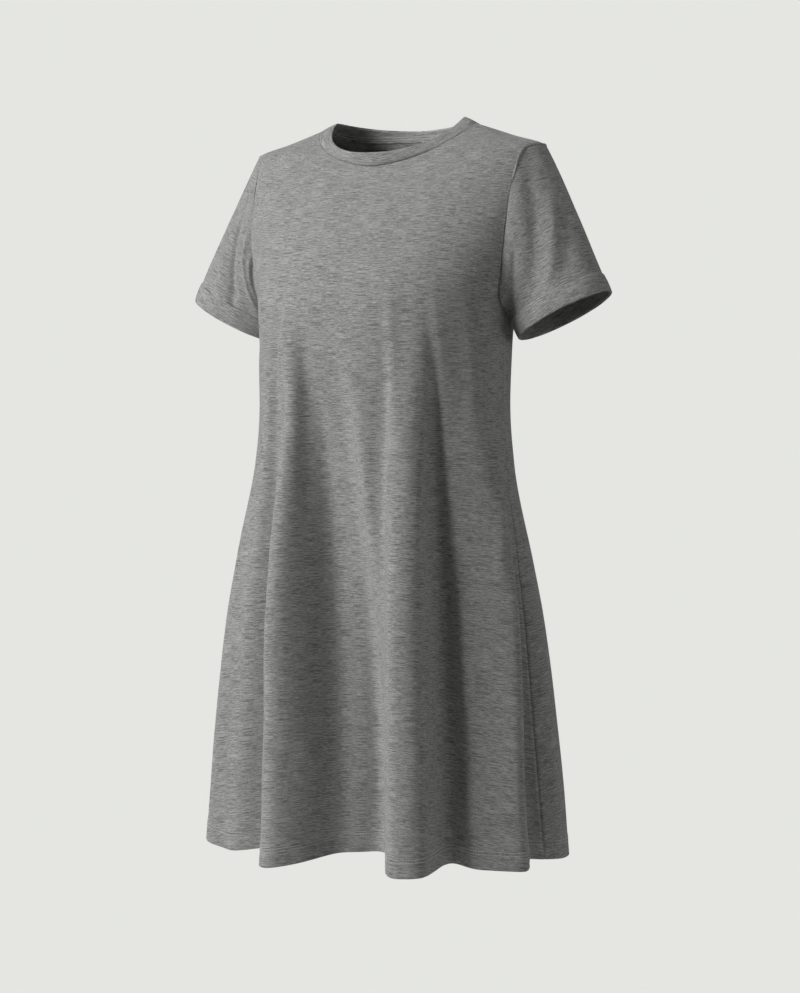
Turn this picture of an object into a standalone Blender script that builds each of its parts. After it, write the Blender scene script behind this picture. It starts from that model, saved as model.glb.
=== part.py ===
"""Swing T-shirt dress in jersey, filled out as when it is worn, with nobody in it.

The dress hangs from the wearer's shoulders, so the origin lies midway between the two points
where the shoulder seams meet the neckband. +Z is up, the front faces -Y and the wearer's left
is +X. Lengths are in metres and angles in degrees.

Each cut piece is one closed wall. Its surface is a function of two shares, one across and one up,
worked out from the level sections of the body, the armhole, the neckline and the fold table.
"""

import math

import bmesh
import bpy
import numpy as np

# ---- driving dimensions ----

HEM_HEIGHT = -0.8405
UNDERARM_HEIGHT = -0.215
SHOULDER_TIP_HEIGHT = -0.029
NECK_HALF_WIDTH = 0.1025
FRONT_NECK_DROP = 0.0495
BACK_NECK_DROP = 0.0130
FRONT_NECK_ROUNDNESS = 1.65
BACK_NECK_ROUNDNESS = 2.4

CLOTH_THICKNESS = 0.0012
HEM_THICKNESS = 0.0022
HEM_TURN = 0.024
SEAM_GAP = 0.0003
BAND_THICKNESS = 0.0022

BAND_TOP_HALF_WIDTH = 0.0855
BAND_TOP_HEIGHT = 0.0086
BAND_TOP_FRONT = 0.066
BAND_TOP_BACK = 0.051
BAND_FRONT_DROP = 0.0426
BAND_BACK_DROP = 0.0066
BAND_BACK_ROUNDNESS = 2.0

CUFF_CENTRE = np.array((0.2243, -0.006, -0.224))
SLEEVE_DROP_ANGLE = 63.9
CUFF_HALF_WIDTH = 0.0610
CUFF_HALF_DEPTH = 0.0405
CUFF_DEPTH = 0.022
CUFF_PROUD = 0.0012
CUFF_THICKNESS = 0.0026
SLEEVE_START_REACH = 0.28
SLEEVE_END_REACH = 0.34
# Where the left sleeve's cloth heads as it leaves the armhole: out, forward or back, and down.
LEAVE_UNDERARM = np.array((0.85, -0.35, -0.50))
LEAVE_SHOULDER = np.array((0.57, -0.35, -0.75))

# ---- how the shares run over a panel ----

PANEL_COLUMNS = 36
NECK_COLUMNS = 16
ROWS_BELOW_UNDERARM = 12
ROWS_ABOVE_UNDERARM = 10
NECK_SHARE = NECK_COLUMNS / PANEL_COLUMNS
UNDERARM_SHARE = ROWS_BELOW_UNDERARM / (ROWS_BELOW_UNDERARM + ROWS_ABOVE_UNDERARM)
ARMHOLE_HOLD = 3.0
HEM_LIFT = 0.30
HEM_STEP = 0.001

# ---- faces round and along each tube: the first rows meet the panels' own ----

SLEEVE_FACES = (2 * ROWS_ABOVE_UNDERARM, 6)
CUFF_FACES = (2 * ROWS_ABOVE_UNDERARM, 1)
BAND_FACES = (2 * NECK_COLUMNS, 2)
FRONT, BACK = -1, 1

# Shares of a tube's length left open at its first and second edge, for the seam's gap.
SLEEVE_GAPS = (0.030, 0.008)
CUFF_GAPS = (0.010, 0.0)
BAND_GAPS = (0.040, 0.0)
SHOULDER_GAP_SHARE = 0.0012
NORMAL_STEP = 1e-4
CORNER_SHARE = 0.008
SHARP_EDGE_ANGLE = 50.0

# Level sections of the body: height, half width, y of the side seams, depth in front of them,
# depth behind them, and squareness (2 is an ellipse).
SECTIONS = (
    (0.0000, 0.1025, 0.000, 0.020, 0.046, 2.00),
    (-0.0145, 0.1463, 0.000, 0.030, 0.056, 2.20),
    (-0.0290, 0.1900, -0.001, 0.043, 0.061, 2.30),
    (-0.0500, 0.1980, -0.002, 0.058, 0.068, 2.30),
    (-0.0900, 0.1930, -0.007, 0.081, 0.081, 2.25),
    (-0.1350, 0.1810, -0.014, 0.099, 0.093, 2.30),
    (-0.1750, 0.1680, -0.022, 0.108, 0.101, 2.35),
    (-0.2150, 0.1570, -0.030, 0.111, 0.107, 2.30),
    (-0.2600, 0.1555, -0.034, 0.109, 0.108, 2.20),
    (-0.3200, 0.1560, -0.036, 0.105, 0.104, 2.10),
    (-0.3960, 0.1635, -0.036, 0.112, 0.106, 2.00),
    (-0.5040, 0.1850, -0.035, 0.127, 0.120, 2.00),
    (-0.5810, 0.1990, -0.034, 0.136, 0.129, 2.00),
    (-0.6910, 0.2120, -0.033, 0.145, 0.136, 2.00),
    (-0.8700, 0.2290, -0.032, 0.157, 0.143, 2.00),
)
HEIGHT, HALF_WIDTH, CENTRE, FRONT_DEPTH, BACK_DEPTH, SQUARENESS = range(6)

# Armhole: height, then the share of the body's half width that the front and the back reach there.
ARMHOLE = (
    (-0.0290, 1.000, 1.000),
    (-0.0335, 0.928, 0.948),
    (-0.0480, 0.881, 0.905),
    (-0.0645, 0.879, 0.902),
    (-0.0885, 0.886, 0.915),
    (-0.1140, 0.912, 0.938),
    (-0.1380, 0.938, 0.958),
    (-0.1745, 0.974, 0.980),
    (-0.1985, 0.988, 0.991),
    (-0.2150, 1.000, 1.000),
)
ARMHOLE_COLUMN = {FRONT: 1, BACK: 2}

# Folds of the skirt, ridges and troughs in turn round the body from the centre front towards the
# wearer's left: angle where it starts, angle at the hem, height where it starts, how far it stands
# out at the hem, half width in degrees, how far it leans round the body, and flatness of its top.
FOLDS = (
    (-66.0, -66.0, -0.36, 0.008, 14.0, 0.000, 2.0),
    (-46.0, -30.0, -0.34, -0.020, 9.0, 0.000, 2.0),
    (-31.0, -13.0, -0.20, 0.027, 7.5, -0.012, 2.4),
    (-10.0, 9.0, -0.26, -0.024, 10.0, 0.000, 2.4),
    (29.0, 28.5, -0.28, 0.026, 7.0, -0.014, 3.2),
    (46.0, 43.0, -0.34, -0.018, 7.5, 0.000, 2.0),
    (66.0, 59.0, -0.34, 0.016, 10.0, 0.010, 3.0),
    (84.0, 82.0, -0.28, -0.034, 9.5, 0.000, 2.4),
    (108.0, 112.0, -0.40, 0.004, 11.0, 0.000, 2.0),
    (126.0, 132.0, -0.40, -0.022, 9.0, 0.000, 2.0),
    (150.0, 152.0, -0.34, 0.022, 8.5, 0.006, 2.4),
    (171.0, 173.0, -0.36, -0.022, 9.0, 0.000, 2.0),
    (192.0, 196.0, -0.32, 0.024, 8.0, -0.006, 2.6),
    (214.0, 217.0, -0.40, -0.020, 9.0, 0.000, 2.0),
    (236.0, 239.0, -0.38, 0.020, 9.0, 0.000, 2.2),
    (262.0, 266.0, -0.34, -0.026, 10.0, 0.000, 2.0),
)
FOLD_GROWTH = 1.15
FOLD_LIMIT = 1.3

# ---- finishes: colour, roughness ----

JERSEY = ((0.205, 0.205, 0.200), 0.93)
JERSEY_RIB = ((0.220, 0.220, 0.215), 0.92)


def clear_scene():
    """Take away whatever the scene starts with."""
    for obj in list(bpy.data.objects):
        bpy.data.objects.remove(obj, do_unlink=True)


def cloth_material(name, finish):
    """A matt cloth material of one colour."""
    colour, roughness = finish
    material = bpy.data.materials.new(name)
    material.use_nodes = True
    shader = material.node_tree.nodes["Principled BSDF"]
    shader.inputs["Base Color"].default_value = (*colour, 1.0)
    shader.inputs["Roughness"].default_value = roughness
    shader.inputs["Metallic"].default_value = 0.0
    return material


# ---- interpolation ----


def smoothstep(share):
    """Ease from 0 to 1."""
    share = np.clip(share, 0.0, 1.0)
    return share * share * (3.0 - 2.0 * share)


def table_value(rows, column, height):
    """One column of a table at a height, by a cubic that never overshoots its rows."""
    depths = -np.array([row[HEIGHT] for row in rows])
    values = np.array([row[column] for row in rows])
    steps = np.diff(depths)
    slopes = np.diff(values) / steps
    tangents = np.concatenate(([slopes[0]], np.zeros(len(steps) - 1), [slopes[-1]]))
    for i in range(1, len(steps)):
        if slopes[i - 1] * slopes[i] > 0.0:
            before = 2.0 * steps[i] + steps[i - 1]
            after = steps[i] + 2.0 * steps[i - 1]
            tangents[i] = (before + after) / (before / slopes[i - 1] + after / slopes[i])
    depth = np.clip(-np.asarray(height, float), depths[0], depths[-1])
    row = np.clip(np.searchsorted(depths, depth, side="right") - 1, 0, len(steps) - 1)
    t = (depth - depths[row]) / steps[row]
    start = values[row] + (3.0 * t**2 - 2.0 * t**3) * (values[row + 1] - values[row])
    rise = (t**3 - 2.0 * t**2 + t) * tangents[row] + (t**3 - t**2) * tangents[row + 1]
    return start + rise * steps[row]


# ---- form of the body ----


def fold_offset(angle, height):
    """How far the folds move the cloth outwards and round the body."""
    outwards = np.zeros(np.broadcast(angle, height).shape)
    round_body = np.zeros_like(outwards)
    for angle_at_top, angle_at_hem, start, depth, width, lean, flatness in FOLDS:
        share = np.clip((start - height) / (start - HEM_HEIGHT), 0.0, FOLD_LIMIT)
        middle = angle_at_top + (angle_at_hem - angle_at_top) * share
        away = (angle - middle + 180.0) % 360.0 - 180.0
        bump = share**FOLD_GROWTH * np.exp(-np.abs(away / width) ** flatness)
        outwards += depth * bump
        round_body += lean * bump
    return outwards, round_body


def body_point(x, height, side, angle):
    """The point of the cloth at x and a height, on the front or the back, folds added."""
    half_width = table_value(SECTIONS, HALF_WIDTH, height)
    depth = table_value(SECTIONS, FRONT_DEPTH if side == FRONT else BACK_DEPTH, height)
    power = table_value(SECTIONS, SQUARENESS, height)
    across = np.clip(np.abs(x) / half_width, 0.0, 1.0)
    forward = np.clip(1.0 - across**power, 0.0, 1.0) ** (1.0 / power)
    y = table_value(SECTIONS, CENTRE, height) + side * depth * forward
    out_x = np.sign(x) * across ** (power - 1.0) / half_width
    out_y = side * forward ** (power - 1.0) / depth
    length = np.hypot(out_x, out_y)
    out_x, out_y = out_x / length, out_y / length
    outwards, round_body = fold_offset(angle, height)
    x = x + out_x * outwards - out_y * round_body
    y = y + out_y * outwards + out_x * round_body
    return np.stack((x, y, height), axis=-1)


def top_edge(across, side):
    """x and height of the neckline and the shoulder seam, for -1 to 1 across."""
    share = np.abs(across)
    drop = FRONT_NECK_DROP if side == FRONT else BACK_NECK_DROP
    roundness = FRONT_NECK_ROUNDNESS if side == FRONT else BACK_NECK_ROUNDNESS
    neck = np.sin(np.clip(share / NECK_SHARE, 0.0, 1.0) * math.pi / 2.0)
    neck_height = -drop * (1.0 - neck**roundness) ** (1.0 / roundness)
    along_seam = np.clip((share - NECK_SHARE) / (1.0 - NECK_SHARE), 0.0, 1.0)
    seam_height = SHOULDER_TIP_HEIGHT * along_seam
    seam_x = table_value(SECTIONS, HALF_WIDTH, seam_height)
    on_neck = share < NECK_SHARE
    x = np.where(on_neck, NECK_HALF_WIDTH * neck, seam_x) * np.sign(across)
    return x, np.where(on_neck, neck_height, seam_height)


def hem_height(angle):
    """The hem dips under a ridge and lifts in a trough."""
    outwards, _ = fold_offset(angle, np.full(np.shape(angle), HEM_HEIGHT))
    return HEM_HEIGHT - HEM_LIFT * outwards


def panel_point(across_share, up_share, side):
    """A point of the front or the back: 0 to 1 from the wearer's right to left, and hem to top."""
    across = 2.0 * across_share - 1.0
    column = np.sin(across * math.pi / 2.0)
    angle = across * 90.0 if side == FRONT else 180.0 - across * 90.0
    low = np.clip(up_share / UNDERARM_SHARE, 0.0, 1.0)
    high = np.clip((up_share - UNDERARM_SHARE) / (1.0 - UNDERARM_SHARE), 0.0, 1.0)
    hem = hem_height(angle)
    low_height = hem + (UNDERARM_HEIGHT - hem) * low
    low_x = table_value(SECTIONS, HALF_WIDTH, low_height) * column
    top_x, top_height = top_edge(across, side)
    middle_rise = np.sin(high * math.pi / 2.0)
    edge_rise = (1.0 - np.cos(high * math.pi)) / 2.0
    rise = middle_rise + (edge_rise - middle_rise) * np.abs(across) ** 3
    high_height = UNDERARM_HEIGHT + (top_height - UNDERARM_HEIGHT) * rise
    edge_height = UNDERARM_HEIGHT + (SHOULDER_TIP_HEIGHT - UNDERARM_HEIGHT) * edge_rise
    reach = table_value(ARMHOLE, ARMHOLE_COLUMN[side], edge_height)
    hold = np.abs(across) ** (ARMHOLE_HOLD * smoothstep(high))
    edge_x = table_value(SECTIONS, HALF_WIDTH, edge_height) * (1.0 + (reach - 1.0) * hold)
    tip_x = table_value(SECTIONS, HALF_WIDTH, SHOULDER_TIP_HEIGHT)
    high_x = edge_x * (column + (top_x / tip_x - column) * smoothstep(high))
    above = up_share > UNDERARM_SHARE
    x = np.where(above, high_x, low_x)
    height = np.where(above, high_height, low_height)
    return body_point(x, height, side, angle)


# ---- form of the sleeves, cuffs and neckband ----


def sleeve_directions():
    """Unit vectors down the left sleeve and across it, from underarm to outer edge."""
    drop = math.radians(SLEEVE_DROP_ANGLE)
    along = np.array((math.cos(drop), 0.0, -math.sin(drop)))
    across = np.array((math.sin(drop), 0.0, math.cos(drop)))
    return along, across


def armhole_shares(angle):
    """The panels' shares at the left armhole, and whether it is the front's."""
    angle = angle % 360.0
    share = np.abs(1.0 - angle / 180.0)
    up_share = UNDERARM_SHARE + (1.0 - UNDERARM_SHARE) * share
    return np.ones_like(up_share), up_share, (angle <= 180.0)[..., None]


def armhole_point(angle):
    """A point of the left armhole: 0 shoulder tip, 90 front, 180 underarm, 270 back."""
    across, up_share, on_front = armhole_shares(angle)
    front = panel_point(across, up_share, FRONT)
    return np.where(on_front, front, panel_point(across, up_share, BACK))


def cuff_ring_point(angle, back, grow):
    """A point of the ring round the left sleeve, moved back from its opening and grown."""
    along, across = sleeve_directions()
    turn = np.radians(angle)[..., None]
    centre = CUFF_CENTRE - along * np.asarray(back)[..., None]
    front = np.array((0.0, -1.0, 0.0))
    outer = across * (CUFF_HALF_WIDTH + grow)
    return centre + np.cos(turn) * outer + np.sin(turn) * front * (CUFF_HALF_DEPTH + grow)


def sleeve_point(round_share, down_share, _side=None):
    """A point of the left sleeve: round it from the shoulder tip by the front, and down it."""
    angle = round_share * 360.0
    along, _ = sleeve_directions()
    start = armhole_point(angle)
    end = cuff_ring_point(angle, np.full(angle.shape, CUFF_DEPTH), 0.0)
    forward = np.sin(np.radians(angle))
    upper = (1.0 + np.cos(np.radians(angle))) / 2.0
    leave = LEAVE_UNDERARM + (LEAVE_SHOULDER - LEAVE_UNDERARM) * upper[..., None]
    leave[..., 1] *= forward
    leave /= np.linalg.norm(leave, axis=-1, keepdims=True)
    reach = np.linalg.norm(end - start, axis=-1, keepdims=True)
    first = start + leave * reach * SLEEVE_START_REACH
    second = end - along * reach * SLEEVE_END_REACH
    t = down_share[..., None]
    before = (1.0 - t) ** 3 * start + 3.0 * (1.0 - t) ** 2 * t * first
    return before + 3.0 * (1.0 - t) * t**2 * second + t**3 * end


def cuff_point(round_share, down_share, _side=None):
    """A point of the left turned-up cuff, from its upper edge to the opening."""
    back = CUFF_DEPTH * (1.0 - down_share)
    return cuff_ring_point(round_share * 360.0, back, CUFF_PROUD)


def neckline_shares(round_share):
    """The panels' shares along the neckline, and whether it is the front's."""
    turn = round_share * 2.0 * math.pi
    across = NECK_SHARE * np.arcsin(np.clip(np.sin(turn), -1.0, 1.0)) / (math.pi / 2.0)
    return (across + 1.0) / 2.0, np.ones_like(across), (np.cos(turn) >= 0.0)[..., None]


def band_point(round_share, up_share, _side=None):
    """A point of the neckband: round it from the centre front, and up it from its seam."""
    turn = round_share * 2.0 * math.pi
    sine = np.sin(turn)
    front = np.cos(turn) >= 0.0
    across, top, on_front = neckline_shares(round_share)
    seam = np.where(on_front, panel_point(across, top, FRONT), panel_point(across, top, BACK))
    forward = np.where(front, BAND_TOP_FRONT, BAND_TOP_BACK) * np.cos(turn)
    roundness = np.where(front, FRONT_NECK_ROUNDNESS, BAND_BACK_ROUNDNESS)
    dip = (1.0 - np.abs(sine) ** roundness) ** (1.0 / roundness)
    height = BAND_TOP_HEIGHT - np.where(front, BAND_FRONT_DROP, BAND_BACK_DROP) * dip
    edge = np.stack((BAND_TOP_HALF_WIDTH * sine, -forward, height), axis=-1)
    t = up_share[..., None]
    return seam * (1.0 - t) + edge * t


# ---- walls ----


def facing(point, across, up, side=None):
    """Unit normal of a surface, pointing out of the dress. A panel has a side and a tube has none."""
    left, right = across - NORMAL_STEP, across + NORMAL_STEP
    if side is not None:
        left, right = np.maximum(left, 0.0), np.minimum(right, 1.0)
        near_underarm = np.abs(up - UNDERARM_SHARE) < CORNER_SHARE
        up = np.where(near_underarm, UNDERARM_SHARE - CORNER_SHARE, up)
        up = np.minimum(up, 1.0 - CORNER_SHARE)
    low, high = np.maximum(up - NORMAL_STEP, 0.0), np.minimum(up + NORMAL_STEP, 1.0)
    sideways = point(right, up, side) - point(left, up, side)
    upwards = point(across, high, side) - point(across, low, side)
    normal = np.cross(sideways, upwards) * (-1.0 if side == BACK else 1.0)
    return normal / np.linalg.norm(normal, axis=-1, keepdims=True)


def seam_facing(shares):
    """Unit normal of the front and the back along an edge that a tube is sewn to."""
    across, up, on_front = shares
    front = facing(panel_point, across, up, FRONT)
    return np.where(on_front, front, facing(panel_point, across, up, BACK))


def finish_object(name, bm, material):
    """Turn a bmesh into a named, smooth-shaded object."""
    bmesh.ops.recalc_face_normals(bm, faces=bm.faces[:])
    mesh = bpy.data.meshes.new(name)
    bm.to_mesh(mesh)
    bm.free()
    mesh.materials.append(material)
    mesh.shade_smooth()
    mesh.set_sharp_from_angle(angle=math.radians(SHARP_EDGE_ANGLE))
    obj = bpy.data.objects.new(name, mesh)
    bpy.context.scene.collection.objects.link(obj)
    return obj


def add_inner_side(bm):
    """Extrude an open surface to a closed wall and return its new inner points."""
    outer = set(bm.verts)
    bmesh.ops.extrude_face_region(bm, geom=bm.faces[:], use_keep_orig=True)
    return [vert for vert in bm.verts if vert not in outer]


def place(verts, positions):
    """Move points to their positions."""
    for vert, position in zip(verts, positions):
        vert.co = position


def panel_row_shares():
    """Height shares of the rows: the hem, both sides of the top of its turn-up, then evenly up."""
    per_metre = UNDERARM_SHARE / (UNDERARM_HEIGHT - HEM_HEIGHT)
    turn = HEM_TURN * per_metre
    step = HEM_STEP * per_metre
    below = np.linspace(turn + step, UNDERARM_SHARE, ROWS_BELOW_UNDERARM - 1)
    above = np.linspace(UNDERARM_SHARE, 1.0 - SHOULDER_GAP_SHARE, ROWS_ABOVE_UNDERARM + 1)
    return np.concatenate(((0.0, turn), below, above[1:]))


def flat_panel(name, side, material):
    """The front or the back: a grid from hem to top, its edges half a gap in from the seams."""
    row_shares = panel_row_shares()
    rows = len(row_shares) - 1
    bm = bmesh.new()
    bmesh.ops.create_grid(bm, x_segments=PANEL_COLUMNS, y_segments=rows, size=0.5)
    inner = set(add_inner_side(bm))
    verts = list(bm.verts)
    side_gap = SEAM_GAP / (4.0 * SECTIONS[-1][HALF_WIDTH])
    across = np.array([side_gap + (1.0 - 2.0 * side_gap) * (vert.co.x + 0.5) for vert in verts])
    row = np.array([round((vert.co.y + 0.5) * rows) for vert in verts])
    thickness = np.where(row <= 1, HEM_THICKNESS, CLOTH_THICKNESS)
    wall = np.where([vert in inner for vert in verts], thickness, 0.0)
    up = row_shares[row]
    normal = facing(panel_point, across, up, side)
    place(verts, panel_point(across, up, side) - wall[:, None] * normal)
    return finish_object(name, bm, material)


def tube_panel(name, point, seam_shares, faces, thickness, gaps, mirrored, material):
    """A ring of cloth between two edges, as a wall; mirrored for the wearer's right.

    Where it is sewn to the panels, its edge is cut through the cloth in line with theirs.
    """
    columns, rows = faces
    bm = bmesh.new()
    bmesh.ops.create_cone(bm, segments=columns, cap_ends=False, radius1=1.0, radius2=1.0, depth=1.0)
    upright = [edge for edge in bm.edges if abs(edge.verts[0].co.z - edge.verts[1].co.z) > 0.5]
    if rows > 1:
        bmesh.ops.subdivide_edges(bm, edges=upright, cuts=rows - 1, use_grid_fill=True)
    inner = set(add_inner_side(bm))
    verts = list(bm.verts)
    turns = np.array([math.atan2(vert.co.y, vert.co.x) / (2.0 * math.pi) for vert in verts]) % 1.0
    turns = np.round(turns * columns) / columns
    along = np.array([gaps[0] + (1.0 - gaps[0] - gaps[1]) * (vert.co.z + 0.5) for vert in verts])
    wall = np.where([vert in inner for vert in verts], thickness, 0.0)
    normal = facing(point, turns, along)
    if seam_shares is not None:
        first_edge = (along < gaps[0] + NORMAL_STEP)[:, None]
        normal = np.where(first_edge, seam_facing(seam_shares(turns)), normal)
        wall = np.where(first_edge[:, 0], np.minimum(wall, CLOTH_THICKNESS), wall)
    place(verts, point(turns, along) - wall[:, None] * normal)
    if mirrored:
        bmesh.ops.scale(bm, vec=(-1.0, 1.0, 1.0), verts=bm.verts[:])
    return finish_object(name, bm, material)


def main():
    """Build the seven cut pieces."""
    clear_scene()
    jersey = cloth_material("heather_jersey", JERSEY)
    rib = cloth_material("jersey_neckband", JERSEY_RIB)
    flat_panel("front", FRONT, jersey)
    flat_panel("back", BACK, jersey)
    for name, mirrored in (("left", False), ("right", True)):
        sleeve = (sleeve_point, None, SLEEVE_FACES, CLOTH_THICKNESS, SLEEVE_GAPS)
        cuff = (cuff_point, None, CUFF_FACES, CUFF_THICKNESS, CUFF_GAPS)
        tube_panel(f"sleeve_{name}", *sleeve, mirrored, jersey)
        tube_panel(f"cuff_{name}", *cuff, mirrored, jersey)
    band = (band_point, neckline_shares, BAND_FACES, BAND_THICKNESS, BAND_GAPS)
    tube_panel("neckband", *band, False, rib)


main()
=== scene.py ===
"""Looks of a swing T-shirt dress in heather jersey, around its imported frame.

The dress is filled out as when it is worn, with nobody in it. It is seven cut pieces of cloth, a
front, a back, two sleeves, two turned-up cuffs and a neckband, with their seams and stitching.
Lengths are in metres and angles in degrees. The origin lies midway between the two points where
the shoulder seams meet the neckband, +Z is up, the front faces -Y and the wearer's left is +X.
"""

import logging
import math
from dataclasses import dataclass
from enum import Enum

import bmesh
import bpy
import numpy as np
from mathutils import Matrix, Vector, noise

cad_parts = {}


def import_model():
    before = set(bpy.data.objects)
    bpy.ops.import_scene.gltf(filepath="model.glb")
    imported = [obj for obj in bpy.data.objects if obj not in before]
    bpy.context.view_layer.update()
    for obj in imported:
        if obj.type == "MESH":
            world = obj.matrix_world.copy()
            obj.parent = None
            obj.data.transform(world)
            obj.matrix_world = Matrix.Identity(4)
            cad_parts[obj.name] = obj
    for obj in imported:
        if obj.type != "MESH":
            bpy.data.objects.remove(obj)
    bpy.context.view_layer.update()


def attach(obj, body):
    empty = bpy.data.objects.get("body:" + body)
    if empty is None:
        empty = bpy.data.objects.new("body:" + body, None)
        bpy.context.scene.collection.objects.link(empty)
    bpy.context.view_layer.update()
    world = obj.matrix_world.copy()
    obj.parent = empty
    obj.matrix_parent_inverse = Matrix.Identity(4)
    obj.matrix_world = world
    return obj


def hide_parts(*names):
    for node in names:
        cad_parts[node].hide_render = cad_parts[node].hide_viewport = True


LOG = logging.getLogger("swing_dress")
Array = np.ndarray
ROOT_BODY = "root"
GRAIN_UV = "grain"
CREASE_FADE = 0.35  # share of a crease's length over which each end fades
SHOULDER_SLOPE = -0.16  # height above which the cloth begins to slope back to the shoulders
SHOULDER_SLOPE_OVER = 0.04
MERGE_DISTANCE = 1e-6
SWELL_NARROWNESS = 0.45  # width of the cloth's slight swells as a share of their height
EDGE_TAPER = 0.93  # share of a rounded edge that the inner face takes up
HEM_STITCH_HEIGHTS = (0.0173, 0.0208)


class Side(Enum):
    """The two halves of the dress; the value is the sign of their outward y."""

    FRONT = -1
    BACK = 1


class Hand(Enum):
    """The wearer's two sides; the value is the sign of their x."""

    LEFT = 1
    RIGHT = -1


def smoothstep(share: Array) -> Array:
    """Ease from 0 to 1.

    Args:
        share: Values; those outside 0 to 1 are held.

    Returns:
        The eased values.
    """
    share = np.clip(share, 0.0, 1.0)
    return share * share * (3.0 - 2.0 * share)


def unit(vectors: Array) -> Array:
    """Vectors cut to length one.

    Args:
        vectors: Vectors along the last axis.

    Returns:
        The same directions with unit length.
    """
    length = np.linalg.norm(vectors, axis=-1, keepdims=True)
    return vectors / np.maximum(length, 1e-12)


def object_from(name: str, bm: bmesh.types.BMesh) -> bpy.types.Object:
    """Make a smooth-shaded object.

    Args:
        name: Name of the object and its mesh.
        bm: The mesh; it is freed.

    Returns:
        The object, in the scene.
    """
    mesh = bpy.data.meshes.new(name)
    bm.to_mesh(mesh)
    bm.free()
    mesh.shade_smooth()
    obj = bpy.data.objects.new(name, mesh)
    bpy.context.scene.collection.objects.link(obj)
    return obj


class SmoothTable:
    """Columns of sizes against height, joined by a cubic that never overshoots its rows."""

    def __init__(self, rows: tuple[tuple[float, ...], ...]) -> None:
        """Work out the tangents once.

        Args:
            rows: Rows of height then sizes, from the top down.
        """
        self.rows = np.array(rows, float)
        self.depths = -self.rows[:, 0]
        self.steps = np.diff(self.depths)
        self.tangents = np.stack([self._tangents(column) for column in self.rows.T], axis=1)

    def _tangents(self, values: Array) -> Array:
        """Slope of the curve at each row.

        Args:
            values: One column of the table.

        Returns:
            One slope for each row.
        """
        slopes = np.diff(values) / self.steps
        tangents = np.concatenate(([slopes[0]], np.zeros(len(slopes) - 1), [slopes[-1]]))
        for i in range(1, len(slopes)):
            if slopes[i - 1] * slopes[i] > 0.0:
                before = 2.0 * self.steps[i] + self.steps[i - 1]
                after = self.steps[i] + 2.0 * self.steps[i - 1]
                tangents[i] = (before + after) / (before / slopes[i - 1] + after / slopes[i])
        return tangents

    def value(self, column: int, height: Array) -> Array:
        """One column at some heights.

        Args:
            column: Column number; 0 is the height itself.
            height: Heights in metres.

        Returns:
            The sizes there.
        """
        depth = np.clip(-np.asarray(height, float), self.depths[0], self.depths[-1])
        row = np.searchsorted(self.depths, depth, side="right") - 1
        row = np.clip(row, 0, len(self.steps) - 1)
        step = self.steps[row]
        t = (depth - self.depths[row]) / step
        start, end = self.rows[row, column], self.rows[row + 1, column]
        rise = (t**3 - 2.0 * t**2 + t) * self.tangents[row, column]
        rise += (t**3 - t**2) * self.tangents[row + 1, column]
        return start + (3.0 * t**2 - 2.0 * t**3) * (end - start) + rise * step


@dataclass(frozen=True)
class Fold:
    """A ridge or trough of the skirt, which grows from where it starts down to the hem.

    Its middle runs from one angle to another round the body, counted from the centre front
    towards the wearer's left. It starts at one height and is fully grown at a lower one. The
    depth is negative for a trough, the half width is an angle, the lean moves the crest round
    the body, and a flatness above 2 gives it a flatter top and steeper sides.
    """

    angle_at_top: float
    angle_at_hem: float
    start: float
    grown: float
    depth: float
    half_width: float
    lean: float
    flatness: float


@dataclass(frozen=True)
class Crease:
    """A soft ridge or trough in the cloth, between two points of a piece.

    Each point is a distance across the piece from its middle and a distance up it, in metres.
    A negative depth is a trough, and the bow is how far its middle lies aside of a straight run.
    """

    from_across: float
    from_up: float
    to_across: float
    to_up: float
    depth: float
    half_width: float
    bow: float = 0.0

    def height(self, across: Array, up: Array) -> Array:
        """How far the crease moves the cloth outwards.

        Args:
            across: Distances across the piece.
            up: Distances up the piece.

        Returns:
            The outward moves in metres.
        """
        run = np.array((self.to_across - self.from_across, self.to_up - self.from_up))
        length = float(np.hypot(*run))
        run /= length
        off_across, off_up = across - self.from_across, up - self.from_up
        along = (off_across * run[0] + off_up * run[1]) / length
        aside = off_across * run[1] - off_up * run[0]
        aside = aside - self.bow * (1.0 - (2.0 * along - 1.0) ** 2)
        fade = smoothstep(along / CREASE_FADE) * smoothstep((1.0 - along) / CREASE_FADE)
        return self.depth * fade * np.exp(-((aside / self.half_width) ** 2))


BODY_SECTIONS = SmoothTable(
    (
        # height, half width, y of the side seams, depth in front, depth behind, squareness
        (0.0000, 0.1025, 0.000, 0.020, 0.046, 2.00),
        (-0.0145, 0.1463, 0.000, 0.030, 0.056, 2.20),
        (-0.0290, 0.1900, -0.001, 0.043, 0.061, 2.30),
        (-0.0500, 0.1980, -0.002, 0.058, 0.068, 2.30),
        (-0.0900, 0.1930, -0.007, 0.081, 0.081, 2.25),
        (-0.1350, 0.1810, -0.014, 0.099, 0.093, 2.30),
        (-0.1750, 0.1680, -0.022, 0.108, 0.101, 2.35),
        (-0.2150, 0.1570, -0.030, 0.111, 0.107, 2.30),
        (-0.2600, 0.1555, -0.034, 0.109, 0.108, 2.20),
        (-0.3200, 0.1560, -0.036, 0.105, 0.104, 2.10),
        (-0.3960, 0.1635, -0.036, 0.112, 0.106, 2.00),
        (-0.5040, 0.1850, -0.035, 0.127, 0.120, 2.00),
        (-0.5810, 0.1990, -0.034, 0.136, 0.129, 2.00),
        (-0.6910, 0.2120, -0.033, 0.145, 0.136, 2.00),
        (-0.8700, 0.2290, -0.032, 0.157, 0.143, 2.00),
    )
)
HALF_WIDTH, CENTRE, FRONT_DEPTH, BACK_DEPTH, SQUARENESS = range(1, 6)

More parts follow.
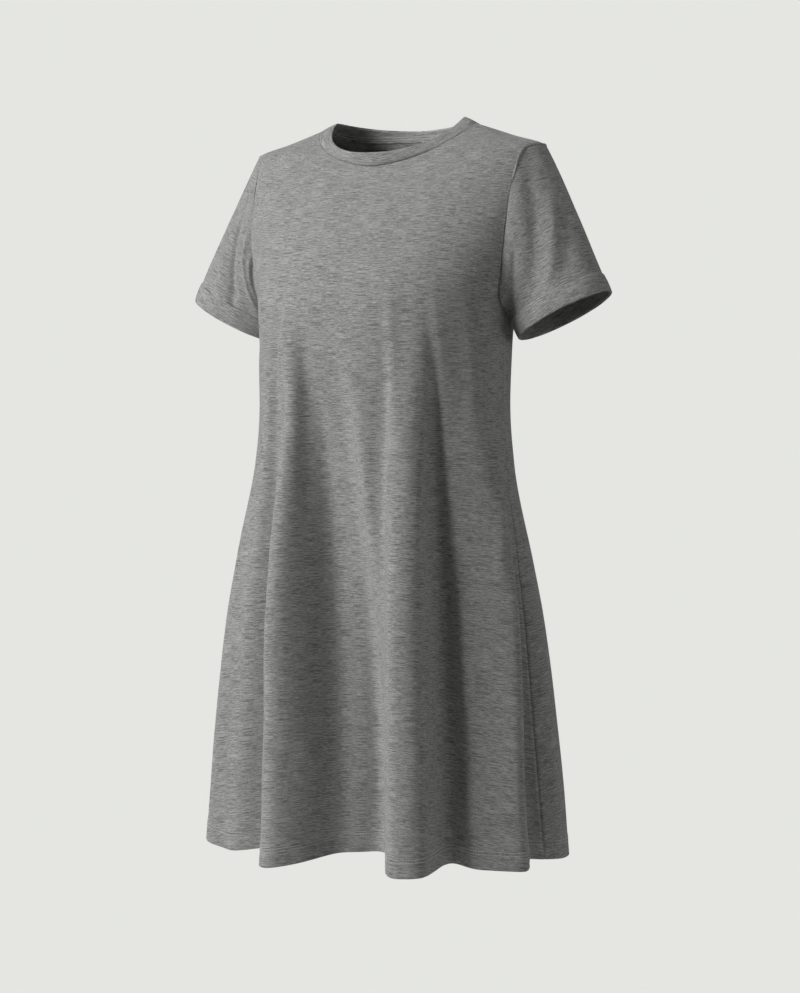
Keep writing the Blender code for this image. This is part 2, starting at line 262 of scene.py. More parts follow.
ARMHOLE = SmoothTable(
    (
        # height, then the share of the body's half width that the front and the back reach there
        (-0.0290, 1.000, 1.000),
        (-0.0335, 0.928, 0.948),
        (-0.0480, 0.881, 0.905),
        (-0.0645, 0.879, 0.902),
        (-0.0885, 0.886, 0.915),
        (-0.1140, 0.912, 0.938),
        (-0.1380, 0.938, 0.958),
        (-0.1745, 0.974, 0.980),
        (-0.1985, 0.988, 0.991),
        (-0.2150, 1.000, 1.000),
    )
)
ARMHOLE_COLUMN = {Side.FRONT: 1, Side.BACK: 2}

SKIRT_FOLDS = (
    Fold(-59.0, -47.5, -0.36, -0.78, 0.013, 4.8, 0.000, 2.0),
    Fold(-42.0, -25.0, -0.22, -0.60, -0.028, 8.0, 0.000, 2.4),
    Fold(-28.0, -12.0, -0.20, -0.62, 0.029, 6.4, -0.006, 2.4),
    Fold(-14.0, 10.0, -0.20, -0.62, -0.039, 12.0, 0.000, 4.6),
    Fold(21.0, 17.0, -0.24, -0.64, -0.011, 7.5, 0.000, 2.0),
    Fold(35.0, 31.0, -0.22, -0.62, 0.036, 8.7, -0.008, 4.0),
    Fold(40.5, 36.8, -0.32, -0.60, 0.005, 2.0, 0.000, 2.0),
    Fold(44.0, 42.0, -0.26, -0.62, -0.022, 5.6, 0.000, 2.4),
    Fold(79.0, 61.0, -0.18, -0.56, 0.012, 12.0, 0.000, 2.0),
    Fold(79.0, 64.0, -0.34, -0.64, 0.014, 5.5, 0.005, 1.6),
    Fold(86.0, 82.0, -0.37, -0.80, -0.032, 9.5, 0.000, 2.4),
    Fold(108.0, 112.0, -0.40, -0.84, 0.004, 11.0, 0.000, 2.0),
    Fold(126.0, 132.0, -0.40, -0.84, -0.022, 9.0, 0.000, 2.0),
    Fold(150.0, 152.0, -0.34, -0.80, 0.022, 8.5, 0.006, 2.4),
    Fold(171.0, 173.0, -0.36, -0.84, -0.022, 9.0, 0.000, 2.0),
    Fold(192.0, 196.0, -0.32, -0.78, 0.024, 8.0, -0.006, 2.6),
    Fold(214.0, 217.0, -0.40, -0.84, -0.020, 9.0, 0.000, 2.0),
    Fold(236.0, 239.0, -0.38, -0.84, 0.020, 9.0, 0.000, 2.2),
    Fold(262.0, 266.0, -0.34, -0.84, -0.026, 10.0, 0.000, 2.0),
)


@dataclass(frozen=True)
class DressForm:
    """Sizes of the worn dress, and the surfaces of its cut pieces worked out from them."""

    hem_height: float = -0.8425
    underarm_height: float = -0.215
    shoulder_tip_height: float = -0.029
    neck_half_width: float = 0.1025
    front_neck_drop: float = 0.0495
    back_neck_drop: float = 0.0130
    front_neck_roundness: float = 1.65
    back_neck_roundness: float = 2.4
    band_half_width: float = 0.0855
    band_height: float = 0.0086
    band_front: float = 0.066
    band_back: float = 0.051
    band_front_drop: float = 0.0426
    band_back_drop: float = 0.0095
    band_back_roundness: float = 1.5
    band_roundness: float = 2.15
    band_set_back: float = 0.004
    band_peak_softness: float = 0.08
    cuff_centre: tuple[float, float, float] = (0.2215, -0.006, -0.2245)
    sleeve_drop_angle: float = 63.9
    cuff_half_width: float = 0.0610
    cuff_half_depth: float = 0.0405
    cuff_depth: float = 0.022
    neck_share: float = 16 / 36
    underarm_share: float = 12 / 22
    armhole_hold: float = 3.0
    hem_lift: float = 0.22
    hem_rise_right: float = 0.024
    hem_rise_from: float = 0.40
    hem_rise_over: float = 0.28
    fold_growth: float = 1.3
    leave_underarm: tuple[float, float, float] = (0.85, -0.16, -0.50)
    leave_shoulder: tuple[float, float, float] = (0.50, -0.16, -0.84)
    sleeve_start_reach: float = 0.28
    sleeve_end_reach: float = 0.40

    def fold_offset(self, angle: Array, height: Array) -> tuple[Array, Array]:
        """How far the skirt's folds move the cloth.

        Args:
            angle: Angle round the body from the centre front, towards the wearer's left.
            height: Height of the cloth.

        Returns:
            The moves outwards and round the body, in metres.
        """
        outwards = np.zeros(np.broadcast(angle, height).shape)
        round_body = np.zeros_like(outwards)
        for fold in SKIRT_FOLDS:
            share = (fold.start - height) / (fold.start - self.hem_height)
            share = np.clip(share, 0.0, 1.0)
            turned = np.sin(share * math.pi / 2.0)
            middle = fold.angle_at_top + (fold.angle_at_hem - fold.angle_at_top) * turned
            away = np.abs((angle - middle + 180.0) % 360.0 - 180.0)
            grown = np.clip((fold.start - height) / (fold.start - fold.grown), 0.0, 1.0)
            strength = np.sin(grown * math.pi / 2.0) ** self.fold_growth
            bump = strength * np.exp(-((away / fold.half_width) ** fold.flatness))
            outwards += fold.depth * bump
            round_body += fold.lean * bump
        return outwards, round_body

    def body_point(self, x: Array, height: Array, side: Side, angle: Array) -> Array:
        """Points of the cloth round the body, folds added.

        Args:
            x: Distance from the middle before the folds.
            height: Height of the cloth.
            side: Front or back.
            angle: Angle round the body, for the folds.

        Returns:
            Points along the last axis.
        """
        half_width = BODY_SECTIONS.value(HALF_WIDTH, height)
        depth_column = FRONT_DEPTH if side is Side.FRONT else BACK_DEPTH
        depth = BODY_SECTIONS.value(depth_column, height)
        power = BODY_SECTIONS.value(SQUARENESS, height)
        across = np.clip(np.abs(x) / half_width, 0.0, 1.0)
        forward = np.clip(1.0 - across**power, 0.0, 1.0) ** (1.0 / power)
        y = BODY_SECTIONS.value(CENTRE, height) + side.value * depth * forward
        out_x = np.sign(x) * across ** (power - 1.0) / half_width
        out_y = side.value * forward ** (power - 1.0) / depth
        length = np.hypot(out_x, out_y)
        out_x, out_y = out_x / length, out_y / length
        outwards, round_body = self.fold_offset(angle, height)
        x = x + out_x * outwards - out_y * round_body
        y = y + out_y * outwards + out_x * round_body
        return np.stack((x, y, height), axis=-1)

    def top_edge(self, across: Array, side: Side) -> tuple[Array, Array]:
        """Where the neckline and the shoulder seam run.

        Args:
            across: -1 to 1 from the wearer's right shoulder tip to the left.
            side: Front or back.

        Returns:
            x and height along the edge.
        """
        share = np.abs(across)
        on_front = side is Side.FRONT
        drop = self.front_neck_drop if on_front else self.back_neck_drop
        roundness = self.front_neck_roundness if on_front else self.back_neck_roundness
        neck = np.sin(np.clip(share / self.neck_share, 0.0, 1.0) * math.pi / 2.0)
        neck_height = -drop * (1.0 - neck**roundness) ** (1.0 / roundness)
        along_seam = np.clip((share - self.neck_share) / (1.0 - self.neck_share), 0.0, 1.0)
        seam_height = self.shoulder_tip_height * along_seam
        seam_x = BODY_SECTIONS.value(HALF_WIDTH, seam_height)
        on_neck = share < self.neck_share
        x = np.where(on_neck, self.neck_half_width * neck, seam_x) * np.sign(across)
        return x, np.where(on_neck, neck_height, seam_height)

    def panel_point(self, across_share: Array, up_share: Array, side: Side) -> Array:
        """Points of the front or the back.

        Args:
            across_share: 0 to 1 from the wearer's right to left.
            up_share: 0 to 1 from the hem to the top.
            side: Front or back.

        Returns:
            Points along the last axis.
        """
        across = 2.0 * across_share - 1.0
        column = np.sin(across * math.pi / 2.0)
        angle = across * 90.0 if side is Side.FRONT else 180.0 - across * 90.0
        low = np.clip(up_share / self.underarm_share, 0.0, 1.0)
        high = np.clip((up_share - self.underarm_share) / (1.0 - self.underarm_share), 0.0, 1.0)
        at_hem, _ = self.fold_offset(angle, np.full(np.shape(angle), self.hem_height))
        held_by_seams = np.cos(across * math.pi / 2.0)
        hem = self.hem_height - self.hem_lift * held_by_seams * at_hem
        to_right = (-across - self.hem_rise_from) / self.hem_rise_over
        hem = hem + self.hem_rise_right * smoothstep(to_right)
        low_height = hem + (self.underarm_height - hem) * low
        low_x = BODY_SECTIONS.value(HALF_WIDTH, low_height) * column
        top_x, top_height = self.top_edge(across, side)
        middle_rise = np.sin(high * math.pi / 2.0)
        edge_rise = (1.0 - np.cos(high * math.pi)) / 2.0
        rise = middle_rise + (edge_rise - middle_rise) * np.abs(across) ** 3
        high_height = self.underarm_height + (top_height - self.underarm_height) * rise
        shoulder_rise = self.shoulder_tip_height - self.underarm_height
        edge_height = self.underarm_height + shoulder_rise * edge_rise
        reach = ARMHOLE.value(ARMHOLE_COLUMN[side], edge_height)
        hold = np.abs(across) ** (self.armhole_hold * smoothstep(high))
        edge_x = BODY_SECTIONS.value(HALF_WIDTH, edge_height) * (1.0 + (reach - 1.0) * hold)
        tip_x = BODY_SECTIONS.value(HALF_WIDTH, np.array(self.shoulder_tip_height))
        high_x = edge_x * (column + (top_x / tip_x - column) * smoothstep(high))
        above = up_share > self.underarm_share
        x = np.where(above, high_x, low_x)
        return self.body_point(x, np.where(above, high_height, low_height), side, angle)

    def armhole_point(self, turn: Array) -> Array:
        """Points of the left armhole.

        Args:
            turn: 0 to 1 round it from the shoulder tip by the front.

        Returns:
            Points along the last axis.
        """
        turn = turn % 1.0
        share = np.abs(1.0 - 2.0 * turn)
        up_share = self.underarm_share + (1.0 - self.underarm_share) * share
        across = np.ones_like(up_share)
        front = self.panel_point(across, up_share, Side.FRONT)
        back = self.panel_point(across, up_share, Side.BACK)
        return np.where((turn <= 0.5)[..., None], front, back)

    def sleeve_axes(self) -> tuple[Array, Array]:
        """Unit vectors down the left sleeve and across it, from underarm to outer edge."""
        drop = math.radians(self.sleeve_drop_angle)
        along = np.array((math.cos(drop), 0.0, -math.sin(drop)))
        return along, np.array((math.sin(drop), 0.0, math.cos(drop)))

    def cuff_ring_point(self, turn: Array, back: Array, grow: Array) -> Array:
        """Points of the ring round the left sleeve's end.

        Args:
            turn: 0 to 1 round it from its outer edge by the front.
            back: Distance up the sleeve from the opening.
            grow: How much larger the ring is than the sleeve.

        Returns:
            Points along the last axis.
        """
        along, across = self.sleeve_axes()
        angle = turn[..., None] * 2.0 * math.pi
        centre = np.array(self.cuff_centre) - along * np.asarray(back)[..., None]
        grow = np.asarray(grow)[..., None]
        outer = across * (self.cuff_half_width + grow)
        front = np.array((0.0, -1.0, 0.0)) * (self.cuff_half_depth + grow)
        return centre + np.cos(angle) * outer + np.sin(angle) * front

    def sleeve_point(self, turn: Array, down_share: Array) -> Array:
        """Points of the left sleeve, armhole to cuff.

        Args:
            turn: 0 to 1 round it from the shoulder tip by the front.
            down_share: 0 at the armhole to 1 where the cuff begins.

        Returns:
            Points along the last axis.
        """
        along, _ = self.sleeve_axes()
        start = self.armhole_point(turn)
        end = self.cuff_ring_point(turn, np.full(turn.shape, self.cuff_depth), np.zeros(1))
        upper = (1.0 + np.cos(turn * 2.0 * math.pi))[..., None] / 2.0
        low, high = np.array(self.leave_underarm), np.array(self.leave_shoulder)
        leave = low + (high - low) * upper
        leave[..., 1] *= np.sin(turn * 2.0 * math.pi)
        leave = unit(leave)
        reach = np.linalg.norm(end - start, axis=-1, keepdims=True)
        first = start + leave * reach * self.sleeve_start_reach
        second = end - along * reach * self.sleeve_end_reach
        t = down_share[..., None]
        before = (1.0 - t) ** 3 * start + 3.0 * (1.0 - t) ** 2 * t * first
        return before + 3.0 * (1.0 - t) * t**2 * second + t**3 * end

    def neck_point(self, turn: Array, drop: Array) -> Array:
        """Points of the body beside the neckline seam.

        Args:
            turn: 0 to 1 round the seam from the centre front by the wearer's left.
            drop: How far each point lies below the seam.

        Returns:
            Points along the last axis.
        """
        sine, cosine = np.sin(turn * 2.0 * math.pi), np.cos(turn * 2.0 * math.pi)
        across = self.neck_share * np.arcsin(np.clip(sine, -1.0, 1.0)) / (math.pi / 2.0)
        found = []
        for side in Side:
            _, seam_height = self.top_edge(across, side)
            fall = 1.0 - drop / (seam_height - self.underarm_height)
            high = 1.0 - np.arccos(fall) / (math.pi / 2.0)
            up_share = self.underarm_share + (1.0 - self.underarm_share) * high
            found.append(self.panel_point((across + 1.0) / 2.0, up_share, side))
        return np.where((cosine >= 0.0)[..., None], found[0], found[1])

    def band_edge_point(self, turn: Array) -> Array:
        """Points of the neckband's free edge.

        Args:
            turn: 0 to 1 round it from the centre front by the wearer's left.

        Returns:
            Points along the last axis.
        """
        sine, cosine = np.sin(turn * 2.0 * math.pi), np.cos(turn * 2.0 * math.pi)
        on_front = cosine >= 0.0
        roundness = np.where(on_front, self.band_roundness, self.band_back_roundness)
        dip = (1.0 - np.abs(sine) ** roundness) ** (1.0 / roundness)
        soft = self.band_peak_softness
        dip = (np.hypot(dip, soft) - soft) / (math.hypot(1.0, soft) - soft)
        drop = np.where(on_front, self.band_front_drop, self.band_back_drop)
        forward = np.where(on_front, self.band_front, self.band_back) * cosine
        x = self.band_half_width * sine
        return np.stack((x, self.band_set_back - forward, self.band_height - drop * dip), axis=-1)


class ClothSheet:
    """A cut piece as rows and columns of points on its outer face, made into a thin wall.

    Row 0 is the lower edge, and columns run so that across times up faces out of the dress.
    Where rows and columns run almost the same way, as at the corners of the neckline, a normal
    is taken from a few rows lower.
    """

    look_down = 8
    least_crossing = 0.25
    sure_crossing = 0.60

    def __init__(self, points: Array, closed: bool, flip: bool = False) -> None:
        """Keep the points and measure the piece.

        Args:
            points: Outer points, rows by columns by three. A closed piece repeats column 0 last.
            closed: Whether the piece is a tube.
            flip: Whether across times up faces into the dress instead.
        """
        self.points = points
        self.closed = closed
        self.flip = flip
        self.place: Array = np.zeros((*points.shape[:2], 2))
        self.measure()

    def measure(self) -> None:
        """Work out lengths across from the middle and up from the lower edge."""
        across = np.linalg.norm(np.diff(self.points, axis=1), axis=2)
        across = np.concatenate((np.zeros((len(across), 1)), np.cumsum(across, axis=1)), axis=1)
        self.from_start = across
        self.row_length = across[:, -1:]
        self.across = across - self.row_length / 2.0
        up = np.linalg.norm(np.diff(self.points, axis=0), axis=2)
        self.up = np.concatenate((np.zeros((1, up.shape[1])), np.cumsum(up, axis=0)), axis=0)
        self.from_top = self.up[-1:] - self.up

    def normals(self) -> Array:
        """Unit vectors out of the cloth at each point."""
        if self.closed:
            ring = np.concatenate((self.points[:, -2:-1], self.points, self.points[:, 1:2]), axis=1)
            sideways = ring[:, 2:] - ring[:, :-2]
        else:
            sideways = np.gradient(self.points, axis=1)
        upwards = np.gradient(self.points, axis=0)
        crossed = np.cross(unit(sideways), unit(upwards))
        crossing = np.linalg.norm(crossed, axis=-1, keepdims=True)
        sure = (crossing - self.least_crossing) / (self.sure_crossing - self.least_crossing)
        sure = smoothstep(sure)
        normal = unit(crossed)
        lower = np.concatenate((normal[: self.look_down], normal[: -self.look_down]))
        normal = unit(lower + (normal - lower) * sure)
        return -normal if self.flip else normal

    def push(self, distance: Array) -> None:
        """Move the cloth along its normals.

        Args:
            distance: Outward moves, one for each point.
        """
        self.points = self.points + self.normals() * distance[..., None]

    def crease(self, creases: tuple[Crease, ...]) -> None:
        """Work the piece's soft creases into it.

        Args:
            creases: The creases, placed across from the middle and up from the lower edge.
        """
        move = np.zeros(self.across.shape)
        for crease in creases:
            move += crease.height(self.across, self.up)
        self.push(move)

    def soften(self, depth: float, size: float, seed: float) -> None:
        """Give the cloth the slight unevenness that a knit never loses.

        Args:
            depth: How far it moves in and out.
            size: Width of one swell.
            seed: Offset that sets this piece's own pattern.
        """
        flat = self.points.reshape(-1, 3) / size
        flat = flat * np.array((1.0, 1.0, SWELL_NARROWNESS)) + seed
        swell = np.array([noise.noise(Vector(point)) for point in flat])
        self.push(depth * swell.reshape(self.across.shape))

    def level(self, height: float) -> Array:
        """Points along the piece at one distance up from its lower edge.

        Args:
            height: Distance up the cloth.

        Returns:
            One point and one normal for each column, joined along the last axis.
        """
        normal = self.normals()
        both = np.concatenate((self.points, normal), axis=2)
        found = [
            [np.interp(height, self.up[:, c], both[:, c, k]) for k in range(6)]
            for c in range(both.shape[1])
        ]
        return np.array(found)

    def band_grain(self) -> Array:
        """Where each point lay on the flat cut of a straight strip, in metres."""
        middle = self.up.shape[1] // 2
        level = self.up[:, middle : middle + 1]
        return np.stack((self.across, level + np.zeros(self.across.shape)), axis=-1)

    def panel_grain(self, flare: float, flare_height: float) -> Array:
        """Where each point lay on the flat cut of a panel: across the courses and up the wales.

        Args:
            flare: Angle in radians that the cut's side has turned through at its hem.
            flare_height: Distance above the hem where the flare begins.

        Returns:
            Rows by columns by two, in metres.
        """
        middle = self.up.shape[1] // 2
        level = self.up[:, middle : middle + 1]
        height = self.points[:, :, 2]
        level = level + height - height[:, middle : middle + 1]
        sloping = np.diff(self.up, axis=0) - np.diff(height, axis=0)
        sloping = sloping * smoothstep((height[1:] - SHOULDER_SLOPE) / SHOULDER_SLOPE_OVER)
        nothing = np.zeros((1, self.up.shape[1]))
        level = level + np.concatenate((nothing, np.cumsum(sloping, axis=0)), axis=0)
        share = smoothstep((flare_height - level) / flare_height)
        half = np.maximum(self.row_length / 2.0, 1e-6)
        lift = 0.5 * flare * share * self.across**2 / half
        return np.stack((self.across, level + lift), axis=-1)

    def build(self, name: str, wall: Array) -> bpy.types.Object:
        """Make the piece a closed thin wall.

        Args:
            name: Name of the piece.
            wall: Thickness at each point.

        Returns:
            The finished object.
        """
        rows, columns = self.points.shape[:2]
        bm = bmesh.new()
        bmesh.ops.create_grid(bm, x_segments=columns - 1, y_segments=rows - 1, size=0.5)
        row_of, column_of = bm.verts.layers.int.new("row"), bm.verts.layers.int.new("column")
        uv = bm.loops.layers.uv.new(GRAIN_UV)
        for vert in bm.verts:
            vert[row_of] = round((vert.co.y + 0.5) * (rows - 1))
            vert[column_of] = round((vert.co.x + 0.5) * (columns - 1))
            vert.co = self.points[vert[row_of], vert[column_of]]
        for face in bm.faces:
            for loop in face.loops:
                loop[uv].uv = self.place[loop.vert[row_of], loop.vert[column_of]]
        if self.closed:
            seam = [v for v in bm.verts if v[column_of] in (0, columns - 1)]
            bmesh.ops.remove_doubles(bm, verts=seam, dist=MERGE_DISTANCE)
        if self.flip:
            bmesh.ops.reverse_faces(bm, faces=bm.faces[:])
        outer = set(bm.verts)
        bmesh.ops.extrude_face_region(bm, geom=bm.faces[:], use_keep_orig=True)
        inside = self.points - self.normals() * wall[..., None]
        for vert in bm.verts:
            if vert not in outer:
                vert.co = inside[vert[row_of], vert[column_of]]
        bmesh.ops.recalc_face_normals(bm, faces=bm.faces[:])
        return object_from(name, bm)


def mirrored(obj: bpy.types.Object) -> None:
    """Turn a left piece into a right one in place.

    Args:
        obj: The piece, whose mesh changes.
    """
    bm = bmesh.new()
    bm.from_mesh(obj.data)
    bmesh.ops.scale(bm, vec=(-1.0, 1.0, 1.0), verts=bm.verts[:])
    bmesh.ops.reverse_faces(bm, faces=bm.faces[:])
    bm.to_mesh(obj.data)
    bm.free()


def graded(start: float, end: float, count: int, fine: tuple[float, ...], scale: float) -> Array:
    """Even shares with closer ones beside both ends.

    Args:
        start: First share.
        end: Last share.
        count: How many even steps.
        fine: Distances of the closer ones from an end.
        scale: Distance that one whole share stands for.

    Returns:
        Shares in order.
    """
    near = np.array(fine) / scale
    clear = 1.5 * near[-1]
    even = np.linspace(start, end, count + 1)
    even = even[(even > start + clear) & (even < end - clear)]
    return np.concatenate(([start], start + near, even, (end - near)[::-1], [end]))


def dress(
    obj: bpy.types.Object, finish: bpy.types.Material, node: str = ""
) -> bpy.types.Object:
    """Give a piece its finish, attach it to the root body, and hide the CAD node that it stands
    for.

    Args:
        obj: The piece.
        finish: Its material.
        node: The CAD node that it stands for, if any.

    Returns:
        The same piece.
    """
    obj.data.materials.append(finish)
    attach(obj, ROOT_BODY)
    if node:
        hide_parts(node)
    return obj


# ---- finishes ----


SEED_SLANT = 0.7
NOISE_ROUGHNESS = 0.55


class NodeWriter:
    """Places and links the nodes of one tree, with short calls."""

    def __init__(self, tree: bpy.types.NodeTree) -> None:
        """Keep the tree.

        Args:
            tree: Node tree to write in.
        """
        self.tree = tree

    def add(self, kind: str, **settings: object) -> bpy.types.Node:
        """Place a node and set its own settings.

        Args:
            kind: Node type.
            settings: Attribute names and values.

        Returns:
            The node.
        """
        node = self.tree.nodes.new(kind)
        for name, value in settings.items():
            setattr(node, name, value)
        return node

    def feed(self, socket: bpy.types.NodeSocket, value: object) -> None:
        """Link a socket to an output, or set its value.

        Args:
            socket: Input socket.
            value: Output socket, number, or tuple.
        """
        if isinstance(value, bpy.types.NodeSocket):
            self.tree.links.new(value, socket)
        else:
            socket.default_value = value

    def math(self, operation: str, *values: object, clamp: bool = False) -> bpy.types.NodeSocket:
        """A Math node.

        Args:
            operation: Its operation.
            values: Its inputs in order.
            clamp: Whether the result is held to 0 to 1.

        Returns:
            Its output.
        """
        node = self.add("ShaderNodeMath", operation=operation, use_clamp=clamp)
        for socket, value in zip(node.inputs, values):
            self.feed(socket, value)
        return node.outputs[0]

    def mix(self, share: object, first: object, second: object) -> bpy.types.NodeSocket:
        """A colour Mix node.

        Args:
            share: 0 for the first colour to 1 for the second.
            first: First colour.
            second: Second colour.

        Returns:
            Its output.
        """
        node = self.add("ShaderNodeMix", data_type="RGBA", clamp_factor=True)
        self.feed(node.inputs["Factor"], share)
        self.feed(node.inputs["A"], first)
        self.feed(node.inputs["B"], second)
        return node.outputs["Result"]

    def tinted(self, colour: object, tint: object) -> bpy.types.NodeSocket:
        """A colour multiplied by a tint.

        Args:
            colour: The colour.
            tint: What each of its channels is multiplied by.

        Returns:
            Its output.
        """
        node = self.add("ShaderNodeMix", data_type="RGBA", blend_type="MULTIPLY")
        self.feed(node.inputs["Factor"], 1.0)
        self.feed(node.inputs["A"], colour)
        self.feed(node.inputs["B"], tint)
        return node.outputs["Result"]

    def ramp(self, value: object, low: float, high: float) -> bpy.types.NodeSocket:
        """Ease a value from 0 at low to 1 at high.

        Args:
            value: Input value.
            low: Where the ramp starts.
            high: Where it ends.

        Returns:
            The eased value.
        """
        node = self.add("ShaderNodeMapRange", interpolation_type="SMOOTHSTEP", clamp=True)
        self.feed(node.inputs["Value"], value)
        self.feed(node.inputs["From Min"], low)
        self.feed(node.inputs["From Max"], high)
        return node.outputs["Result"]

    def noise(
        self, place: object, size: tuple[float, float], detail: float, seed: float
    ) -> bpy.types.NodeSocket:
        """Noise stretched to a width and a height on the flat cut.

        Args:
            place: Place on the cut.
            size: Width and height of one patch in metres.
            detail: Octaves of noise.
            seed: Offset that moves the pattern.

        Returns:
            The noise, about 0.5.
        """
        node = self.add("ShaderNodeMapping", vector_type="POINT")
        self.feed(node.inputs["Vector"], place)
        node.inputs["Scale"].default_value = (1.0 / size[0], 1.0 / size[1], 1.0)
        node.inputs["Location"].default_value = (seed, SEED_SLANT * seed, 0.0)
        pattern = self.add("ShaderNodeTexNoise", noise_dimensions="2D")
        self.feed(pattern.inputs["Vector"], node.outputs[0])
        pattern.inputs["Scale"].default_value = 1.0
        pattern.inputs["Detail"].default_value = detail
        pattern.inputs["Roughness"].default_value = NOISE_ROUGHNESS
        return pattern.outputs["Fac"]


def new_group(
    name: str, inputs: dict[str, object], outputs: dict[str, str]
) -> tuple[bpy.types.NodeTree, bpy.types.Node, bpy.types.Node]:
    """Start a shader node group with named sockets.

    Args:
        name: Name of the group.
        inputs: Socket names and default values; a tuple of three is a vector, of four a colour.
        outputs: Socket names and socket types.

    Returns:
        The group, its input node and its output node.
    """
    group = bpy.data.node_groups.new(name, "ShaderNodeTree")
    kinds = {3: "NodeSocketVector", 4: "NodeSocketColor"}
    for label, value in inputs.items():
        kind = kinds[len(value)] if isinstance(value, tuple) else "NodeSocketFloat"
        socket = group.interface.new_socket(label, in_out="INPUT", socket_type=kind)
        socket.default_value = value
    for label, kind in outputs.items():
        group.interface.new_socket(label, in_out="OUTPUT", socket_type=kind)
    return group, group.nodes.new("NodeGroupInput"), group.nodes.new("NodeGroupOutput")


@dataclass(frozen=True)
class FibreLayer:
    """Fibres of one length in the heather: their size on the cut and their share of it."""

    size: tuple[float, float]
    detail: float
    seed: float
    weight: float

    def write(self, w: NodeWriter, place: object) -> bpy.types.NodeSocket:
        """Place the layer's noise.

        Args:
            w: Writer of the tree.
            place: Place on the cut.

        Returns:
            The noise.
        """
        return w.noise(place, self.size, self.detail, self.seed)


LONG_STREAKS = FibreLayer((0.0190, 0.0007), 1.0, 3.1, 0.34)
SHORT_STREAKS = FibreLayer((0.0060, 0.0006), 1.0, 11.7, 0.28)
FLECKS = FibreLayer((0.0010, 0.0008), 1.0, 29.3, 0.30)
CLOUDS = FibreLayer((0.0450, 0.0120), 2.0, 47.9, 0.08)
DARK_TO_LIGHT = (0.41, 0.59)
MIDDLE_SHARE = 0.30
DARK_STREAK, DARK_STREAK_SHARE = (0.38, 0.27), 0.50
LIGHT_STREAK, LIGHT_STREAK_SHARE = (0.63, 0.74), 0.45
TINT_CLOUD, TINT_SHARE = (0.35, 0.65), 0.5
GAP_BELOW = 0.45  # height under which the face of the knit counts as a gap between loops


def heather_group() -> bpy.types.NodeTree:
    """Mixed dark and light fibres, drawn out along the courses of the knit.

    Returns:
        A group from the place on the cut to a colour and a fibre mask.
    """
    group, given, out = new_group(
        "heather_fibres",
        {
            "Place": (0.0, 0.0, 0.0),
            "Dark": (0.05, 0.05, 0.05, 1.0),
            "Middle": (0.2, 0.2, 0.2, 1.0),
            "Light": (0.4, 0.4, 0.4, 1.0),
            "Tint": (1.01, 1.01, 0.96, 1.0),
        },
        {"Colour": "NodeSocketColor", "Fibres": "NodeSocketFloat"},
    )
    w = NodeWriter(group)
    place = given.outputs["Place"]
    long_streaks = LONG_STREAKS.write(w, place)
    short_streaks = SHORT_STREAKS.write(w, place)
    flecks = FLECKS.write(w, place)
    clouds = CLOUDS.write(w, place)
    total = w.math("MULTIPLY", long_streaks, LONG_STREAKS.weight)
    total = w.math("MULTIPLY_ADD", short_streaks, SHORT_STREAKS.weight, total)
    total = w.math("MULTIPLY_ADD", flecks, FLECKS.weight, total)
    total = w.math("MULTIPLY_ADD", clouds, CLOUDS.weight, total)
    dark, light = given.outputs["Dark"], given.outputs["Light"]
    body = w.mix(w.ramp(total, *DARK_TO_LIGHT), dark, light)
    body = w.mix(MIDDLE_SHARE, body, given.outputs["Middle"])
    streak = w.math("MULTIPLY", w.ramp(long_streaks, *DARK_STREAK), DARK_STREAK_SHARE)
    colour = w.mix(streak, body, dark)
    streak = w.math("MULTIPLY", w.ramp(short_streaks, *LIGHT_STREAK), LIGHT_STREAK_SHARE)
    colour = w.mix(streak, colour, light)
    tint = w.math("MULTIPLY", w.ramp(clouds, *TINT_CLOUD), TINT_SHARE)
    colour = w.mix(tint, colour, w.tinted(colour, given.outputs["Tint"]))
    w.feed(out.inputs["Colour"], colour)
    w.feed(out.inputs["Fibres"], total)
    return group


def knit_group() -> bpy.types.NodeTree:
    """Face of a single jersey: columns of small V-shaped loops.

    Returns:
        A group from the place on the cut to a height and a shade between the loops.
    """
    group, given, out = new_group(
        "jersey_loops",
        {"Place": (0.0, 0.0, 0.0), "Wale": 0.0009, "Course": 0.0007, "Leg Slope": 1.1},
        {"Height": "NodeSocketFloat", "Gap": "NodeSocketFloat"},
    )
    w = NodeWriter(group)
    parts = w.add("ShaderNodeSeparateXYZ")
    w.feed(parts.inputs[0], given.outputs["Place"])
    wale = w.math("FRACT", w.math("DIVIDE", parts.outputs["X"], given.outputs["Wale"]))
    leg = w.math("ABSOLUTE", w.math("SUBTRACT", wale, 0.5))
    course = w.math("DIVIDE", parts.outputs["Y"], given.outputs["Course"])
    slope = w.math("MULTIPLY", leg, given.outputs["Leg Slope"])
    course = w.math("FRACT", w.math("SUBTRACT", course, slope))
    loop = w.math("SINE", w.math("MULTIPLY", course, math.pi))
    groove = w.math("SINE", w.math("MULTIPLY", leg, 2.0 * math.pi))
    height = w.math("MULTIPLY", loop, w.math("SQRT", w.math("ABSOLUTE", groove)))
    w.feed(out.inputs["Height"], height)
    w.feed(out.inputs["Gap"], w.ramp(height, GAP_BELOW, 0.0))
    return group


class FinishGroups:
    """The node groups that the cloth finishes share, made once."""

    def __init__(self) -> None:
        """Make the groups."""
        self.heather = heather_group()
        self.knit = knit_group()


